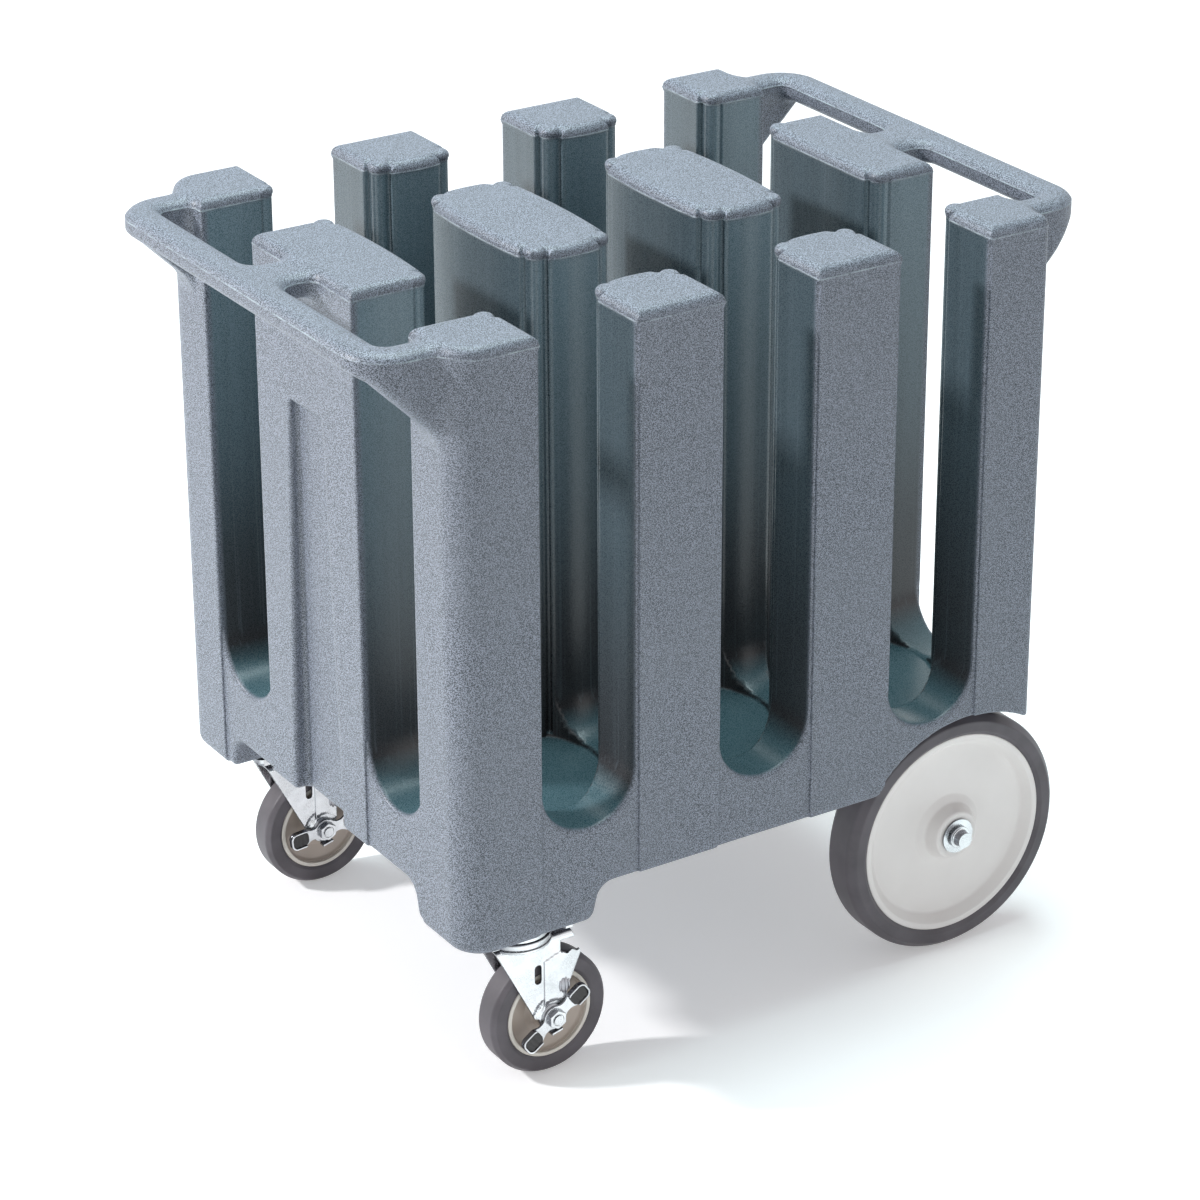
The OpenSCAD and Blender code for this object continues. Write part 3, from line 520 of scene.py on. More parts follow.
def cut_slots(body, x, y_off, z, in_x, in_y):
    """Cuts the slots of all four sides and the gaps between the posts, whose faces bulge."""
    near_lip = portion((SLOT_FLOOR + SLOT * LIP_START - z) / LIP_SPAN)
    edge = EDGE_ROUND + (LIP_ROUND - EDGE_ROUND) * near_lip
    bulge = RIDGE * portion(1 - (y_off / (WELL_Y - SLOT / 2 - CENTRE_FLAT)) ** 2)
    body = cut(body, trough(in_x, z, SLOT / 2) + bulge * (x < WELL_X + 2 * PITCH), edge)
    beyond = np.abs(x - WELL_X - PITCH) > PITCH
    bulge = RIDGE * portion(1 - ((PITCH / 2 - np.abs(in_x)) / INNER_BULGE) ** 2)
    gap = np.where(beyond, trough(in_y, z, SLOT / 2), trough(in_y, z, TIP_SLOT / 2) + bulge)
    return cut(body, gap, edge)


def from_upright(in_x, in_y, radius, angle):
    """Distance from the upright line at a radius and angle in each quarter of a well."""
    return np.hypot(np.abs(in_x) - radius * cos(angle), np.abs(in_y) - radius * sin(angle))


def cut_wells(body, z, in_x, in_y):
    """Cuts the wells, and a narrow valley on each side of every rib."""
    well = rounded_max(np.hypot(in_x, in_y) - WELL_R, WELL_FLOOR - z, WELL_ROUND)
    body = cut(body, well, EDGE_ROUND)
    for turn in (-VALLEY_TURN, VALLEY_TURN):
        valley = from_upright(in_x, in_y, WELL_R, RIB_ANGLE + turn) - VALLEY_R
        body = cut(body, rounded_max(valley, WELL_FLOOR + VALLEY_RISE - z, 1), VALLEY_EDGE)
    return body


def handle_field(x_out, y_off, z):
    """Loop handle, its gussets and its bridge; x_out is the distance beyond the end face."""
    ring = np.abs(rounded_box(x_out + LENGTH / 2, y_off, LENGTH / 2 + REACH - BAR / 2,
                              HANDLE_W / 2 - BAR / 2, HANDLE_CORNER - BAR / 2)) - BAR / 2
    bridge = np.maximum(y_off - BRIDGE_W / 2, x_out - REACH + BAR / 2)
    plan = np.maximum(rounded_min(ring, bridge, BRIDGE_FILLET), -x_out - HANDLE_ROOT)
    slope = (TOP - BAR_H - GUSSET + x_out - z) / sqrt(2)
    gusset = rounded_max(slope, HANDLE_W / 2 - BAR - y_off, GUSSET_EDGE)
    under = rounded_min(TOP - BAR_H - z, gusset, GUSSET_FILLET)
    return rounded_max(rounded_max(plan, under, BAR_EDGE), z - TOP, BAR_ROUND)


def rib_field(z, in_x, in_y):
    """Upright ribs with domed knobs that flare a little over the parting line."""
    rib = from_upright(in_x, in_y, WELL_R + RIB_SET, RIB_ANGLE) - RIB_R
    flared = rib - KNOB_FLARE * portion((z - PARTING) / KNOB_NECK)
    return rounded_max(flared, z - TOP + KNOB_DROP, KNOB_ROUND)


def cut_underside(body, x, y_off, z):
    """Cuts the hollow between the two caster feet, and the wheel arches."""
    foot_x = ((x - FOOT_X) * FOOT_RISE - (z - FOOT) * FOOT_RUN) / FOOT_SLANT
    foot_y = (-(y_off - FOOT_Y) * FOOT_RISE - (z - FOOT) * FOOT_RUN) / FOOT_SLANT
    feet = rounded_max(foot_x, foot_y, FOOT_ROUND)
    body = cut(body, rounded_max(z - UNDERSIDE, -feet, UNDER_ROUND), HOLLOW_EDGE)
    body = rounded_max(body, FOOT - z, UNDER_ROUND)
    arch = np.maximum(np.hypot(x - ARCH_X, z - ARCH_Z) - ARCH_R, ARCH_IN - y_off)
    return cut(body, arch, ARCH_EDGE)


def body_field(x, y, z):
    y_off = np.abs(y)
    column = np.clip(np.round((x - WELL_X) / PITCH), 0, 2)
    in_x = x - WELL_X - column * PITCH
    in_y = y_off - WELL_Y
    body = block_field(x, y, z, in_x, in_y)
    body = cut_groove(body, x, y_off, z)
    body = cut_slots(body, x, y_off, z, in_x, in_y)
    body = cut_wells(body, z, in_x, in_y)
    # Handles, then one rounding for every top edge, with the domed ribs standing in it
    body = rounded_min(body, handle_field(np.abs(x) - LENGTH / 2, y_off, z), POST_FILLET)
    body = rounded_max(body, z - TOP, TOP_ROUND)
    body = rounded_min(body, rib_field(z, in_x, in_y), RIB_FILLET)
    body = cut_underside(body, x, y_off, z)
    # Raised parting line under the top edges
    return body - SEAM_RISE * np.exp(-((z - PARTING) / SEAM_HALF) ** 2)


RIB_NEAR, RIB_FAR, Y_NEAR = 46, 73, 40  # ribs and slot edges lie this far from a well's middle
END_STEP, RIB_STEP, FLAT_STEP = 2.6, 2.2, 5.0


def grid_planes():
    """Planes that are close together where the body has edges, and far apart on flat faces."""
    edge = LENGTH / 2
    tip, bar, corner = edge + REACH + 3, edge + REACH - BAR - 3, edge - CASTER_CORNER - 4
    runs = [(-tip, -bar, END_STEP), (-bar, -edge - 6, FLAT_STEP), (-edge - 6, -edge + 12, END_STEP),
            (-edge + 12, -corner, 4)]
    at = -corner
    for i in range(3):
        centre = WELL_X + i * PITCH
        runs += [(at, centre - RIB_FAR, 8), (centre - RIB_FAR, centre - RIB_NEAR, RIB_STEP),
                 (centre - RIB_NEAR, centre + RIB_NEAR, FLAT_STEP),
                 (centre + RIB_NEAR, centre + RIB_FAR, RIB_STEP)]
        at = centre + RIB_FAR
    runs += [(at, edge - 12, 6), (edge - 12, edge + 6, END_STEP), (edge + 6, bar, FLAT_STEP),
             (bar, tip, END_STEP)]
    half = planes((0, 20, 7), (20, 46, 3.3), (46, WELL_Y - RIB_FAR, 6),
                  (WELL_Y - RIB_FAR, WELL_Y - Y_NEAR, RIB_STEP),
                  (WELL_Y - Y_NEAR, WELL_Y + Y_NEAR, FLAT_STEP),
                  (WELL_Y + Y_NEAR, WELL_Y + RIB_FAR, RIB_STEP), (WELL_Y + RIB_FAR, 250, 2.8),
                  (250, WIDTH / 2 - 6, 4), (WIDTH / 2 - 6, WIDTH / 2 + 3, 1.8))
    bottoms = SLOT_FLOOR + SLOT / 2 + 5
    zs = planes((FOOT - 3, FOOT + 15, END_STEP), (FOOT + 15, 196, 5), (196, 222, 3), (222, 264, 7),
                (264, 275, 1.6), (275, bottoms, 5), (bottoms, 616, 36), (616, 632, 3),
                (632, 680, 16), (680, 736, 6), (736, 758, 2.4), (758, 764, 0.6),
                (764, TOP + 2, 1.6))
    return planes(*runs), np.concatenate([-half[:0:-1], half]), zs


def add_body():
    points, faces = surface_net(body_field, *grid_planes())
    points, normals = settle(body_field, points, rounds=3)
    low, high = mm_box("body")
    points = np.clip(points, low, high)
    piece = add_piece("moulded_body", points, faces, normals, "moulded_blue", "frame", ("body",))
    # How far each point is inside a well, how much painted light its wall gets, and whether it is on a
    # floor, for the material
    x, y, z = points.T
    corner = np.where(x < 0, CASTER_CORNER, WHEEL_CORNER)
    depth = -rounded_box(x, y, LENGTH / 2, WIDTH / 2, corner)
    in_groove = (x < -LENGTH / 2 + GROOVE_DEPTH + 16) & (np.abs(y) < GROOVE_FOOT_W / 2 + 6)
    inner = portion((depth - PANEL_RECESS - 1.5) / 4) * portion((PARTING + 1 - z) / 3)
    inner *= (z > WELL_FLOOR - 4) & ~in_groove
    # Painted light: walls that don't face along X get a lighter colour, more towards the top.
    painted_light = (1 - normals[:, 0] ** 2) * portion((z - 400) / 330)
    floor = portion((normals[:, 2] - 0.35) / 0.4) * (z < 400)
    for label, values in (("inner", inner), ("painted_light", painted_light), ("floor", floor)):
        layer = piece.data.attributes.new(label, "FLOAT", "POINT")
        layer.data.foreach_set("value", values.astype(np.float32))


add_body()


# ---- Turned pieces

ROUND_STEPS = 5


def rounded_outline(corners):
    """Closed outline of (radius from the axis, place along it, rounding) corners, with normals."""
    points, normals = [], []
    count = len(corners)
    spots = np.array([corner[:2] for corner in corners], float)
    area = sum(np.cross(spots[i - 1], spots[i]) for i in range(count))
    if area < 0:
        corners = corners[::-1]
        spots = spots[::-1]
    for i in range(count):
        before = spots[i] - spots[i - 1]
        after = spots[(i + 1) % count] - spots[i]
        before /= np.linalg.norm(before)
        after /= np.linalg.norm(after)
        turn = atan2(float(np.cross(before, after)), float(before @ after))
        radius = corners[i][2]
        reach = radius * tan(abs(turn) / 2)
        out = np.array([before[1], -before[0]])
        start = spots[i] - before * reach
        centre = start - out * radius * np.sign(turn)
        for k in range(ROUND_STEPS + 1):
            angle = turn * k / ROUND_STEPS
            spin = np.array([[cos(angle), -sin(angle)], [sin(angle), cos(angle)]])
            normal = spin @ out
            points.append(centre + normal * radius * np.sign(turn))
            normals.append(normal)
    return np.array(points), np.array(normals)


def add_turned(name, corners, centre, out, segments, material, body, replaced=(), slot=None):
    """An outline turned about a line along Y through the centre; out is +1 or -1."""
    outline, slopes = rounded_outline(corners)
    angles = np.arange(segments) * 2 * pi / segments
    ring = np.stack([np.cos(angles), np.sin(angles)], axis=1)
    count = len(outline)
    points = np.zeros((segments, count, 3))
    normals = np.zeros((segments, count, 3))
    for rows, pairs in ((points, outline), (normals, slopes)):
        rows[:, :, 0] = ring[:, :1] * pairs[:, 0]
        rows[:, :, 2] = ring[:, 1:] * pairs[:, 0]
        rows[:, :, 1] = out * pairs[:, 1]
    points += np.array(centre)
    here = np.arange(segments * count).reshape(segments, count)
    along = np.roll(here, -1, axis=1)
    quads = [here, along, np.roll(along, -1, axis=0), np.roll(here, -1, axis=0)]
    faces = np.stack(quads, axis=2).reshape(-1, 4)
    if out < 0:
        faces = faces[:, ::-1]
    add_piece(name, points.reshape(-1, 3), faces, normals.reshape(-1, 3), material, body,
              replaced)


# ---- Casters. Local places: u along X, v along Z, and out towards -Y from the wheel's middle

SWIVEL_X, SWIVEL_Y = -240.0, 222.0
TRAIL = 28.0
AXLE_X, AXLE_Z = SWIVEL_X + TRAIL, 63.5
TYRE_R, TYRE_W, HUB_R = 63.5, 32.0, 46.0
LEG_IN, SHEET = 18.0, 3.0
LEG_OUT = LEG_IN + SHEET
CAM, RUN_GAP = 1.5, 0.3
PEDAL_IN, PEDAL_SHEET = LEG_OUT + CAM + RUN_GAP, 2.5
NUT_IN = PEDAL_IN + PEDAL_SHEET + RUN_GAP
NUT_H, NUT_FLATS, BOLT_R = 5.0, 17.0, 5.0
CROWN_Z, CROWN_R, CUP_TOP = 147.4, 34.0, 157.9
CROWN_TOP = CROWN_Z + SHEET
BOLT_HOLE_R, PIN_HOLE_R = 5.3, 6.4

# Outline of a fork leg in (u, z), on its leading edge and then up its trailing edge
LEAD_TOP, LEAD_FOOT = (-33.5, CROWN_Z), (12.0, 58.0)
TRAIL_FOOT, TRAIL_KNEE, TRAIL_WIDE = (43.0, 58.0), (43.0, 87.5), (59.0, 125.0)
TRAIL_TOP = (50.0, CROWN_TOP)
EYE_R = 15
FOLD_U, STEP_RISE = 18.0, 1.1  # behind the fold the outer face steps up, clear of the axle
STEP_CLEAR, STEP_DROP, STEP_SLOPE = 16, 22, 0.35
DIMPLE, DIMPLE_IN, DIMPLE_OUT = 1.5, 14, 24
LEG_SLOT_U, LEG_SLOT_Z, LEG_SLOT_HALF, LEG_SLOT_R = 12, 113, 6.5, 3.5
WINDOW_U, WINDOW_Z, WINDOW_BELOW = 37, 127, 5
TOOTH_U, TOOTH_PITCH, TOOTH_RISE = 38, 11, 3.5


def beside(u, z, first, second):
    """Distance to the right of the line from first to second."""
    run, rise = second[0] - first[0], second[1] - first[1]
    return ((u - first[0]) * rise - (z - first[1]) * run) / sqrt(run * run + rise * rise)


def leg_outline(u, out, z):
    """Outline of the fork's legs seen from the side, with their openings."""
    behind = np.where(z < TRAIL_KNEE[1], beside(u, z, TRAIL_FOOT, TRAIL_KNEE),
                      beside(u, z, TRAIL_KNEE, TRAIL_WIDE))
    plan = common(beside(u, z, LEAD_TOP, LEAD_FOOT), behind, beside(u, z, TRAIL_WIDE, TRAIL_TOP))
    plan = rounded_max(plan, AXLE_Z - z, 2)
    plan = rounded_min(plan, np.hypot(u - TRAIL, z - AXLE_Z) - EYE_R, 1)
    up_slot = np.maximum(np.abs(z - LEG_SLOT_Z) - LEG_SLOT_HALF, 0)
    plan = np.maximum(plan, -(np.hypot(u - LEG_SLOT_U, up_slot) - LEG_SLOT_R))
    # The window has a toothed lower edge and is in the outer leg alone
    tooth = np.abs(((u - TOOTH_U) / TOOTH_PITCH) % 1 - 0.5) * 2
    window = np.maximum(WINDOW_U - u, z - CROWN_Z + WINDOW_BELOW)
    window = rounded_max(window, WINDOW_Z + TOOTH_RISE * tooth - z, 0.5)
    return np.where(out > 0, np.maximum(plan, -window), plan)


def fork_field(u, out, z):
    """Bent sheet fork: crown, cup and two tapering legs with a stepped rear half."""
    rear = portion((u - FOLD_U) / 0.8 + 0.5)
    from_axle = np.hypot(u - TRAIL, z - AXLE_Z)
    step_top = CROWN_Z - STEP_DROP + STEP_SLOPE * (u - FOLD_U)
    raised = portion((from_axle - STEP_CLEAR) / 4) * portion((step_top - z) / 1.5 + 0.5)
    dimple = DIMPLE * portion((DIMPLE_OUT - from_axle) / 3) * portion((from_axle - DIMPLE_IN) / 3)
    across = np.abs(out) - STEP_RISE * rear * raised + dimple * (1 - rear)
    shell = np.maximum(rounded_max(across - LEG_OUT, z - CROWN_TOP, 6),
                       -rounded_max(across - LEG_IN, z - CROWN_Z, 3))
    legs = rounded_max(shell, leg_outline(u, out, z), 0.6)
    legs = np.maximum(legs, BOLT_HOLE_R - from_axle)
    turn = np.hypot(u, out)
    disc = rounded_max(turn - CROWN_R, sheet(z, CROWN_Z, SHEET), 1)
    cup = rounded_max(turn - CROWN_R, sheet(z, CROWN_TOP, CUP_TOP - CROWN_TOP), 2.5)
    return np.maximum(np.minimum(np.minimum(legs, disc), cup), PIN_HOLE_R - turn)


def add_fork(side, name):
    def field(x, y, z):
        return fork_field(x - SWIVEL_X, SWIVEL_Y * side - y, z)

    across = planes((-36, -26, 2.5), (-26, -17, 0.75), (-17, 17, 3.4), (17, 26, 0.75),
                    (26, 36, 2.5))
    grid = (even(SWIVEL_X - 36, SWIVEL_X + 62, 1.4), across + side * SWIVEL_Y,
            planes((48, 82, 1.3), (82, 140, 1.8), (140, 159.4, 0.9)))
    add_field("fork_sheet_" + name, field, grid, "zinc", "swivel_" + name, ("fork_" + name,))


# Small parts on the fork: the ribbed brake boss and the stop tab under the pedal's nut
BOSS_U, BOSS_Z, BOSS_R = 40, 94, 7.4
BOSS_RIB, BOSS_RIB_PITCH = 0.7, 3.4
STOP_BELOW, STOP_LEAN, STOP_OUT = 15.6, 0.25, 22.5


def add_fork_details(side, name):
    y_mid = side * SWIVEL_Y

    def boss(x, y, z):
        u, v, out = x - SWIVEL_X - BOSS_U, z - BOSS_Z, y_mid - y
        dome = np.sqrt((u * 1.15) ** 2 + (v * 0.9) ** 2 + ((out - LEG_OUT) * 1.9) ** 2) - BOSS_R
        ribbed = dome + BOSS_RIB * np.cos(2 * pi * u / BOSS_RIB_PITCH)
        return np.maximum(ribbed, LEG_OUT + 0.8 - out)

    grid = (even(SWIVEL_X + 31, SWIVEL_X + 49, 0.5), even(y_mid - 27, y_mid - 21.3, 0.5),
            even(85, 103, 0.7))
    add_field("brake_boss_" + name, boss, grid, "zinc_dull", "swivel_" + name)

    def stop(x, y, z):
        u, v, out = x - AXLE_X, z - AXLE_Z, y_mid - y
        lean = v + STOP_BELOW - STOP_LEAN * u
        return rounded_max(rounded_box(u - 1.5, lean, 6.0, 1.2, 0.5), np.abs(out - STOP_OUT) - 4, 0.6)

    grid = (even(AXLE_X - 6, AXLE_X + 9, 0.6), even(y_mid - 28, y_mid - 17, 0.7),
            even(AXLE_Z - 19, AXLE_Z - 11, 0.5))
    add_field("pedal_stop_" + name, stop, grid, "zinc", "swivel_" + name)


PEDAL_TILT, PEDAL_TRAVEL = 35.0, 30.0  # degrees; the left pedal rests at the other end
TREAD_AT, TREAD_HALF_L, TREAD_HALF_W, TREAD_CORNER = 30.5, 11.5, 9.5, 7.0
CUP_WALL, CUP_HALF, CUP_FROM, CUP_SKEW = 1.1, 2.9, 23, 0.15
PAD_INSET, PAD_FROM, PAD_AT, PAD_HALF = 2.4, 20.5, 3.6, 1.1
PAD_RIB, PAD_RIB_PITCH = 0.35, 5.5
# Notches in the edge of the pedal: places along and across it, and half sizes
NOTCHES = ((10.5, 9.5, 1.4, 1.6), (4.5, 12.0, 1.2, 1.4), (13, -9.0, 1.6, 2.2))


def in_pedal(x, y, z, side):
    """Places along the pedal, across it and outwards from the wheel's middle."""
    tilt = radians(PEDAL_TILT if side < 0 else PEDAL_TILT - PEDAL_TRAVEL)
    u, v = x - AXLE_X, z - AXLE_Z
    return u * cos(tilt) + v * sin(tilt), v * cos(tilt) - u * sin(tilt), SWIVEL_Y * side - y


def pedal_end(along, across, inset=0.0):
    """Plane field of the two treads, or of something that keeps an inset from their edges."""
    return rounded_box(np.abs(along) - TREAD_AT, across, TREAD_HALF_L - inset,
                       TREAD_HALF_W - inset, TREAD_CORNER - inset)


def pedal_field(along, across, out):
    """Rocker with a cupped tread at each end, waists and a notched hub."""
    ends = pedal_end(along, across)
    plan = rounded_min(rounded_box(along, across, 34, 6.0, 1), ends, 3)
    plan = rounded_min(plan, np.hypot(along, across) - 12, 3)
    for at_along, at_across, half_l, half_w in NOTCHES:
        notch = rounded_box(along - at_along, across - at_across, half_l, half_w, 0.4)
        plan = cut(plan, notch, 0.4)
    plate = rounded_max(plan, sheet(out, PEDAL_IN, PEDAL_SHEET), 0.7)
    wall = np.abs(ends + CUP_WALL) - CUP_WALL
    wall = rounded_max(wall, CUP_FROM - np.abs(along) - across * CUP_SKEW, 1)
    cup = rounded_max(wall, np.abs(out - PEDAL_IN - CUP_HALF) - CUP_HALF, 0.9)
    return np.maximum(rounded_min(plate, cup, 0.8), BOLT_HOLE_R - np.hypot(along, across))


def pad_field(along, across, out):
    """Dark treads in the cups, with three shallow grip ribs each."""
    plan = rounded_max(pedal_end(along, across, PAD_INSET), PAD_FROM - np.abs(along), 1)
    ribs = PAD_RIB * np.cos(2 * pi * (np.abs(along) - TREAD_AT) / PAD_RIB_PITCH)
    return rounded_max(plan, np.abs(out - PEDAL_IN - PAD_AT) - PAD_HALF - ribs, 0.5)


def hex_field(u, v, flats):
    thirds = [radians(60) * i for i in range(3)]
    return common(*(np.abs(u * cos(turn) + v * sin(turn)) for turn in thirds)) - flats / 2


def nut_field(u, v, out):
    """Hex nut with chamfered corners and the rounded end of its bolt."""
    radius = np.hypot(u, v)
    face = sheet(out, NUT_IN, NUT_H)
    nut = rounded_max(hex_field(u, v, NUT_FLATS), face, 0.5)
    # A cone of slope 1.7, whose gradient has the length 1.97, takes off the corners
    nut = np.maximum(nut, (radius - NUT_FLATS / 2 - 0.3 + face * 1.7) / 1.97)
    nut = cut(nut, np.maximum(radius - BOLT_R - 0.9, NUT_IN + NUT_H - 0.8 - out), 0.3)
    bolt = rounded_max(radius - BOLT_R, np.maximum(out - NUT_IN - NUT_H - 0.9, NUT_IN + 0.5 - out), 0.9)
    return np.minimum(nut, bolt)


def add_pedal(side, name):
    y_mid = side * SWIVEL_Y
    reach = 45
    grid = (even(AXLE_X - reach, AXLE_X + reach, 0.9), even(y_mid - 30.2, y_mid - 21.8, 0.5),
            even(AXLE_Z - 34, AXLE_Z + 34, 0.9))
    body = "brake_" + name
    add_field("pedal_rocker_" + name, lambda x, y, z: pedal_field(*in_pedal(x, y, z, side)), grid,
              "zinc", body, ("brake_pedal_" + name,))
    add_field("pedal_treads_" + name, lambda x, y, z: pad_field(*in_pedal(x, y, z, side)), grid,
              "dark_plastic", body, ("pedal_pads_" + name,))

    def nut(x, y, z):
        return nut_field(x - AXLE_X, z - AXLE_Z, y_mid - y)

    reach = NUT_FLATS * 0.65
    grid = (even(AXLE_X - reach, AXLE_X + reach, 0.5),
            even(y_mid - NUT_IN - NUT_H - 2, y_mid - NUT_IN + 1, 0.45),
            even(AXLE_Z - reach, AXLE_Z + reach, 0.5))
    add_field("axle_lock_nut_" + name, nut, grid, "zinc", "swivel_" + name, ("axle_nut_" + name,))


CASTER_SEGMENTS, REAR_SEGMENTS = 128, 160


def mirrored(corners):
    """Outline corners followed by their mirror images across the wheel's middle plane."""
    return corners + [(radius, -place, rounding) for radius, place, rounding in reversed(corners)]


def add_caster_wheel(side, name):
    half = TYRE_W / 2
    tread = mirrored([(HUB_R + 0.1, -half + 2, 0.8), (HUB_R + 3, -half + 0.4, 1.2),
                      (TYRE_R - 4, -half, 2.0), (TYRE_R, -half + 5.5, 5.0)])
    dish = mirrored([(10.3, -17, 0.6), (15.5, -17, 1.2), (17, -9, 3), (24, -6.5, 3),
                     (HUB_R - 7, -8.5, 3), (HUB_R - 4.2, -13, 0.6)])
    rim = [(HUB_R - 4.3, -14.6, 0.7), (HUB_R - 0.1, -14.6, 1.2), (HUB_R - 0.1, 14.6, 1.2),
           (HUB_R - 4.3, 14.6, 0.7)]
    where = ((AXLE_X, side * SWIVEL_Y, AXLE_Z), -1, CASTER_SEGMENTS)
    body = "caster_wheel_" + name
    add_turned("caster_tread_" + name, tread, *where, "tyre", body, ("caster_tyre_" + name,))
    add_turned("caster_dish_" + name, dish, *where, "hub_plastic", body, ("caster_hub_" + name,))
    add_turned("caster_rim_" + name, rim, *where, "hub_cream", body, slot="hub_plastic")


for name, side in SIDES.items():
    add_fork(side, name)
    add_fork_details(side, name)
    add_pedal(side, name)
    add_caster_wheel(side, name)


# ---- Rear wheels. Places along the axle are measured outwards from the cart's middle

REAR_X, REAR_R = 252.0, 127.0
WHEEL_IN, WHEEL_OUT = 210.0, 255.0
DISC_R, DISC_FACE = 106.0, 252.0
DISH = 10.0


def add_rear_wheel(side, name):
    tyre = [(DISC_R + 0.1, WHEEL_IN + 3, 0.8), (DISC_R + 4, WHEEL_IN, 1.5),
            (REAR_R - 7, WHEEL_IN, 3), (REAR_R, WHEEL_IN + 8, 8), (REAR_R, WHEEL_OUT - 8, 8),
            (REAR_R - 7, WHEEL_OUT, 3), (DISC_R + 4, WHEEL_OUT, 1.5),
            (DISC_R + 0.1, WHEEL_OUT - 3, 0.8)]
    face, hollow = DISC_FACE, DISC_FACE - DISH
    disc = [(11.5, face + 6.2, 0.6), (18.5, face + 6.4, 0.6), (24.5, face + 7, 3),
            (30, hollow + 4, 4), (38, hollow, 6), (92, hollow, 4), (100, face - 0.3, 2),
            (DISC_R - 1.5, face + 0.3, 0.8), (DISC_R, face, 0.8), (DISC_R, face - 38, 1.0),
            (DISC_R - 6, face - 38, 1.0), (DISC_R - 6, hollow - 8, 3), (34, hollow - 6, 5),
            (25, face - 22, 3), (19, face - 43, 1.5), (11.5, face - 43, 0.8)]
    where = ((REAR_X, 0.0, REAR_R), side, REAR_SEGMENTS)
    body = "rear_wheel_" + name
    add_turned("rear_tread_" + name, tyre, *where, "tyre", body, ("wheel_tyre_" + name,))
    add_turned("rear_disc_" + name, disc, *where, "disc_white", body, ("wheel_disc_" + name,))


for name, side in SIDES.items():
    add_rear_wheel(side, name)


CAP_R, CAP_IN, CAP_HALF = 11.5, 4.2, 0.7  # flange of a cap; places are inwards from the axle's end
DOME_R, DOME_IN, DOME_STRETCH = 8.4, 5.2, 1.5
TEETH, TOOTH, TEETH_R = 6, 0.5, 4.6


def add_axle_cap(side, name):
    """Domed push-on nut with a toothed collar round the end of the axle."""
    low, high = mm_box("axle_caps")
    outer = max(abs(low[1]), abs(high[1]))

    def field(x, y, z):
        u, v, out = x - REAR_X, z - REAR_R, side * y - outer
        radius, angle = np.hypot(u, v), np.arctan2(v, u)
        flange = rounded_max(radius - CAP_R, np.abs(out + CAP_IN) - CAP_HALF, 0.5)
        dome = np.sqrt(radius ** 2 + ((out + DOME_IN) * DOME_STRETCH) ** 2) - DOME_R
        bore = TEETH_R + TOOTH * np.cos(TEETH * angle)
        dome = common(np.abs(dome) - CAP_HALF, -4.9 - out, bore - radius)
        return rounded_min(flange, dome, 0.8)

    grid = (even(REAR_X - 13, REAR_X + 13, 0.55), np.sort(side * even(outer - 6, outer + 3, 0.45)),
            even(REAR_R - 13, REAR_R + 13, 0.55))
    replaced = ("axle_caps",) if side > 0 else ()
    add_field("push_nut_" + name, field, grid, "zinc", "frame", replaced)


for name, side in SIDES.items():
    add_axle_cap(side, name)


# ---- Floor, light and background

SKY, SKY_STRENGTH = (0.97, 0.97, 1.0, 1), 0.40
WHITE = (1, 1, 1, 1)
FLOOR_HALF, FLOOR_Z = 30.0, -0.0005
FLOOR_SHADE, FLOOR_TINT, FLOOR_GLOW = (0.90, 0.90, 0.90), (0.93, 0.93, 0.93), 0.30

# Name, place, target, size, power and colour of each lamp
LAMPS = (
    ("key_back_left", (-3.25, 1.6, 2.6), (0, 0, 0.45), (0.35, 0.35), 150, (1.0, 0.99, 1.0)),
    ("top_soft", (0.2, 0.5, 3.6), (0, 0, 0.5), (2.4, 2.4), 130, (0.82, 1.0, 1.02)),
    ("front_fill", (1.2, -4.0, 1.6), (0, 0, 0.4), (3.0, 2.0), 8, (1.0, 0.98, 1.0)),
)


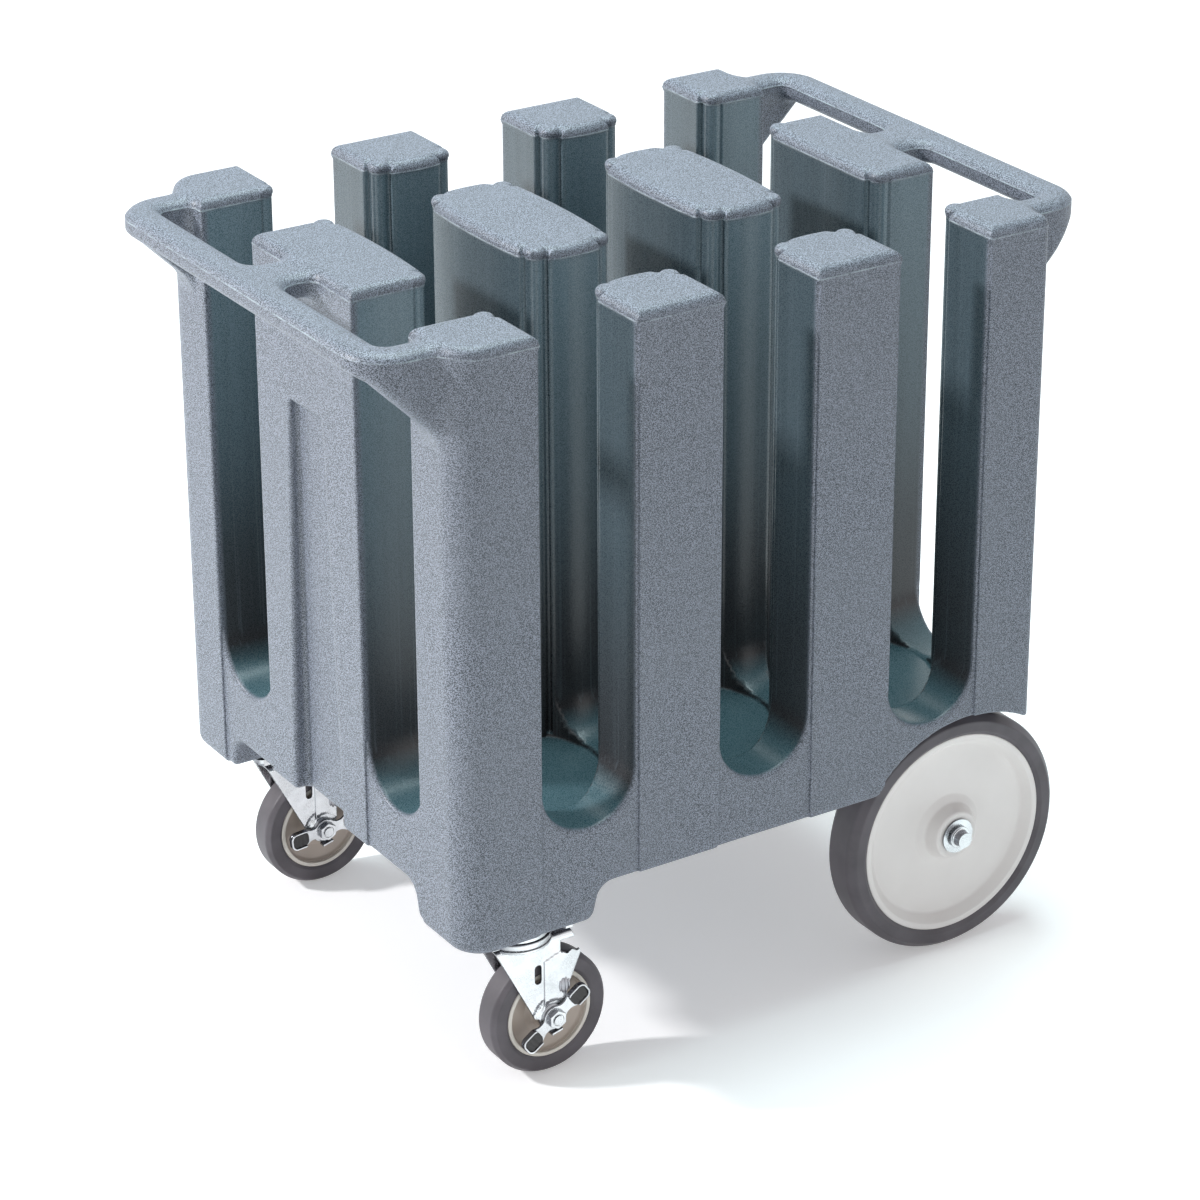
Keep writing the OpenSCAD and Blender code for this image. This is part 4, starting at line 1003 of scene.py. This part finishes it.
def add_world():
    """White to the camera, in reflections and through glass; soft light for every other ray."""
    world = bpy.data.worlds.new("studio")
    bpy.context.scene.world = world
    world.use_nodes = True
    tree = world.node_tree
    soft = tree.nodes["Background"]
    soft.inputs["Color"].default_value = SKY
    soft.inputs["Strength"].default_value = SKY_STRENGTH
    white = tree.nodes.new("ShaderNodeBackground")
    white.inputs["Color"].default_value = WHITE
    white.inputs["Strength"].default_value = 1.0
    path = tree.nodes.new("ShaderNodeLightPath")
    seen = path.outputs["Is Camera Ray"]
    for ray in ("Is Glossy Ray", "Is Transmission Ray"):
        largest = tree.nodes.new("ShaderNodeMath")
        largest.operation = "MAXIMUM"
        tree.links.new(seen, largest.inputs[0])
        tree.links.new(path.outputs[ray], largest.inputs[1])
        seen = largest.outputs["Value"]
    mix = tree.nodes.new("ShaderNodeMixShader")
    tree.links.new(seen, mix.inputs["Fac"])
    tree.links.new(soft.outputs["Background"], mix.inputs[1])
    tree.links.new(white.outputs["Background"], mix.inputs[2])
    tree.links.new(mix.outputs["Shader"], tree.nodes["World Output"].inputs["Surface"])


def add_floor():
    n = Nodes("floor_white")
    color = n.mix(n.bands(n.noise(2.0, detail=2), 0.3, 0.7), FLOOR_SHADE, FLOOR_TINT)
    n.link(color, n.shader.inputs["Base Color"])
    n.shader.inputs["Roughness"].default_value = 0.9
    n.shader.inputs["Emission Color"].default_value = WHITE
    n.shader.inputs["Emission Strength"].default_value = FLOOR_GLOW
    corners = [(x * FLOOR_HALF, y * FLOOR_HALF, FLOOR_Z)
               for x, y in ((-1, -1), (1, -1), (1, 1), (-1, 1))]
    mesh = bpy.data.meshes.new("floor")
    mesh.from_pydata(corners, [], [(0, 1, 2, 3)])
    mesh.materials.append(n.material)
    floor = bpy.data.objects.new("floor", mesh)
    bpy.context.scene.collection.objects.link(floor)


def add_lamp(name, place, target, size, power, color):
    data = bpy.data.lights.new(name, "AREA")
    data.shape = "RECTANGLE"
    data.size, data.size_y = size
    data.energy = power
    data.color = color
    lamp = bpy.data.objects.new(name, data)
    bpy.context.scene.collection.objects.link(lamp)
    lamp.location = place
    lamp.rotation_mode = "QUATERNION"
    lamp.rotation_quaternion = (Vector(target) - Vector(place)).to_track_quat("-Z", "Y")


add_world()
add_floor()
for lamp in LAMPS:
    add_lamp(*lamp)

bpy.context.scene.view_settings.view_transform = "Standard"
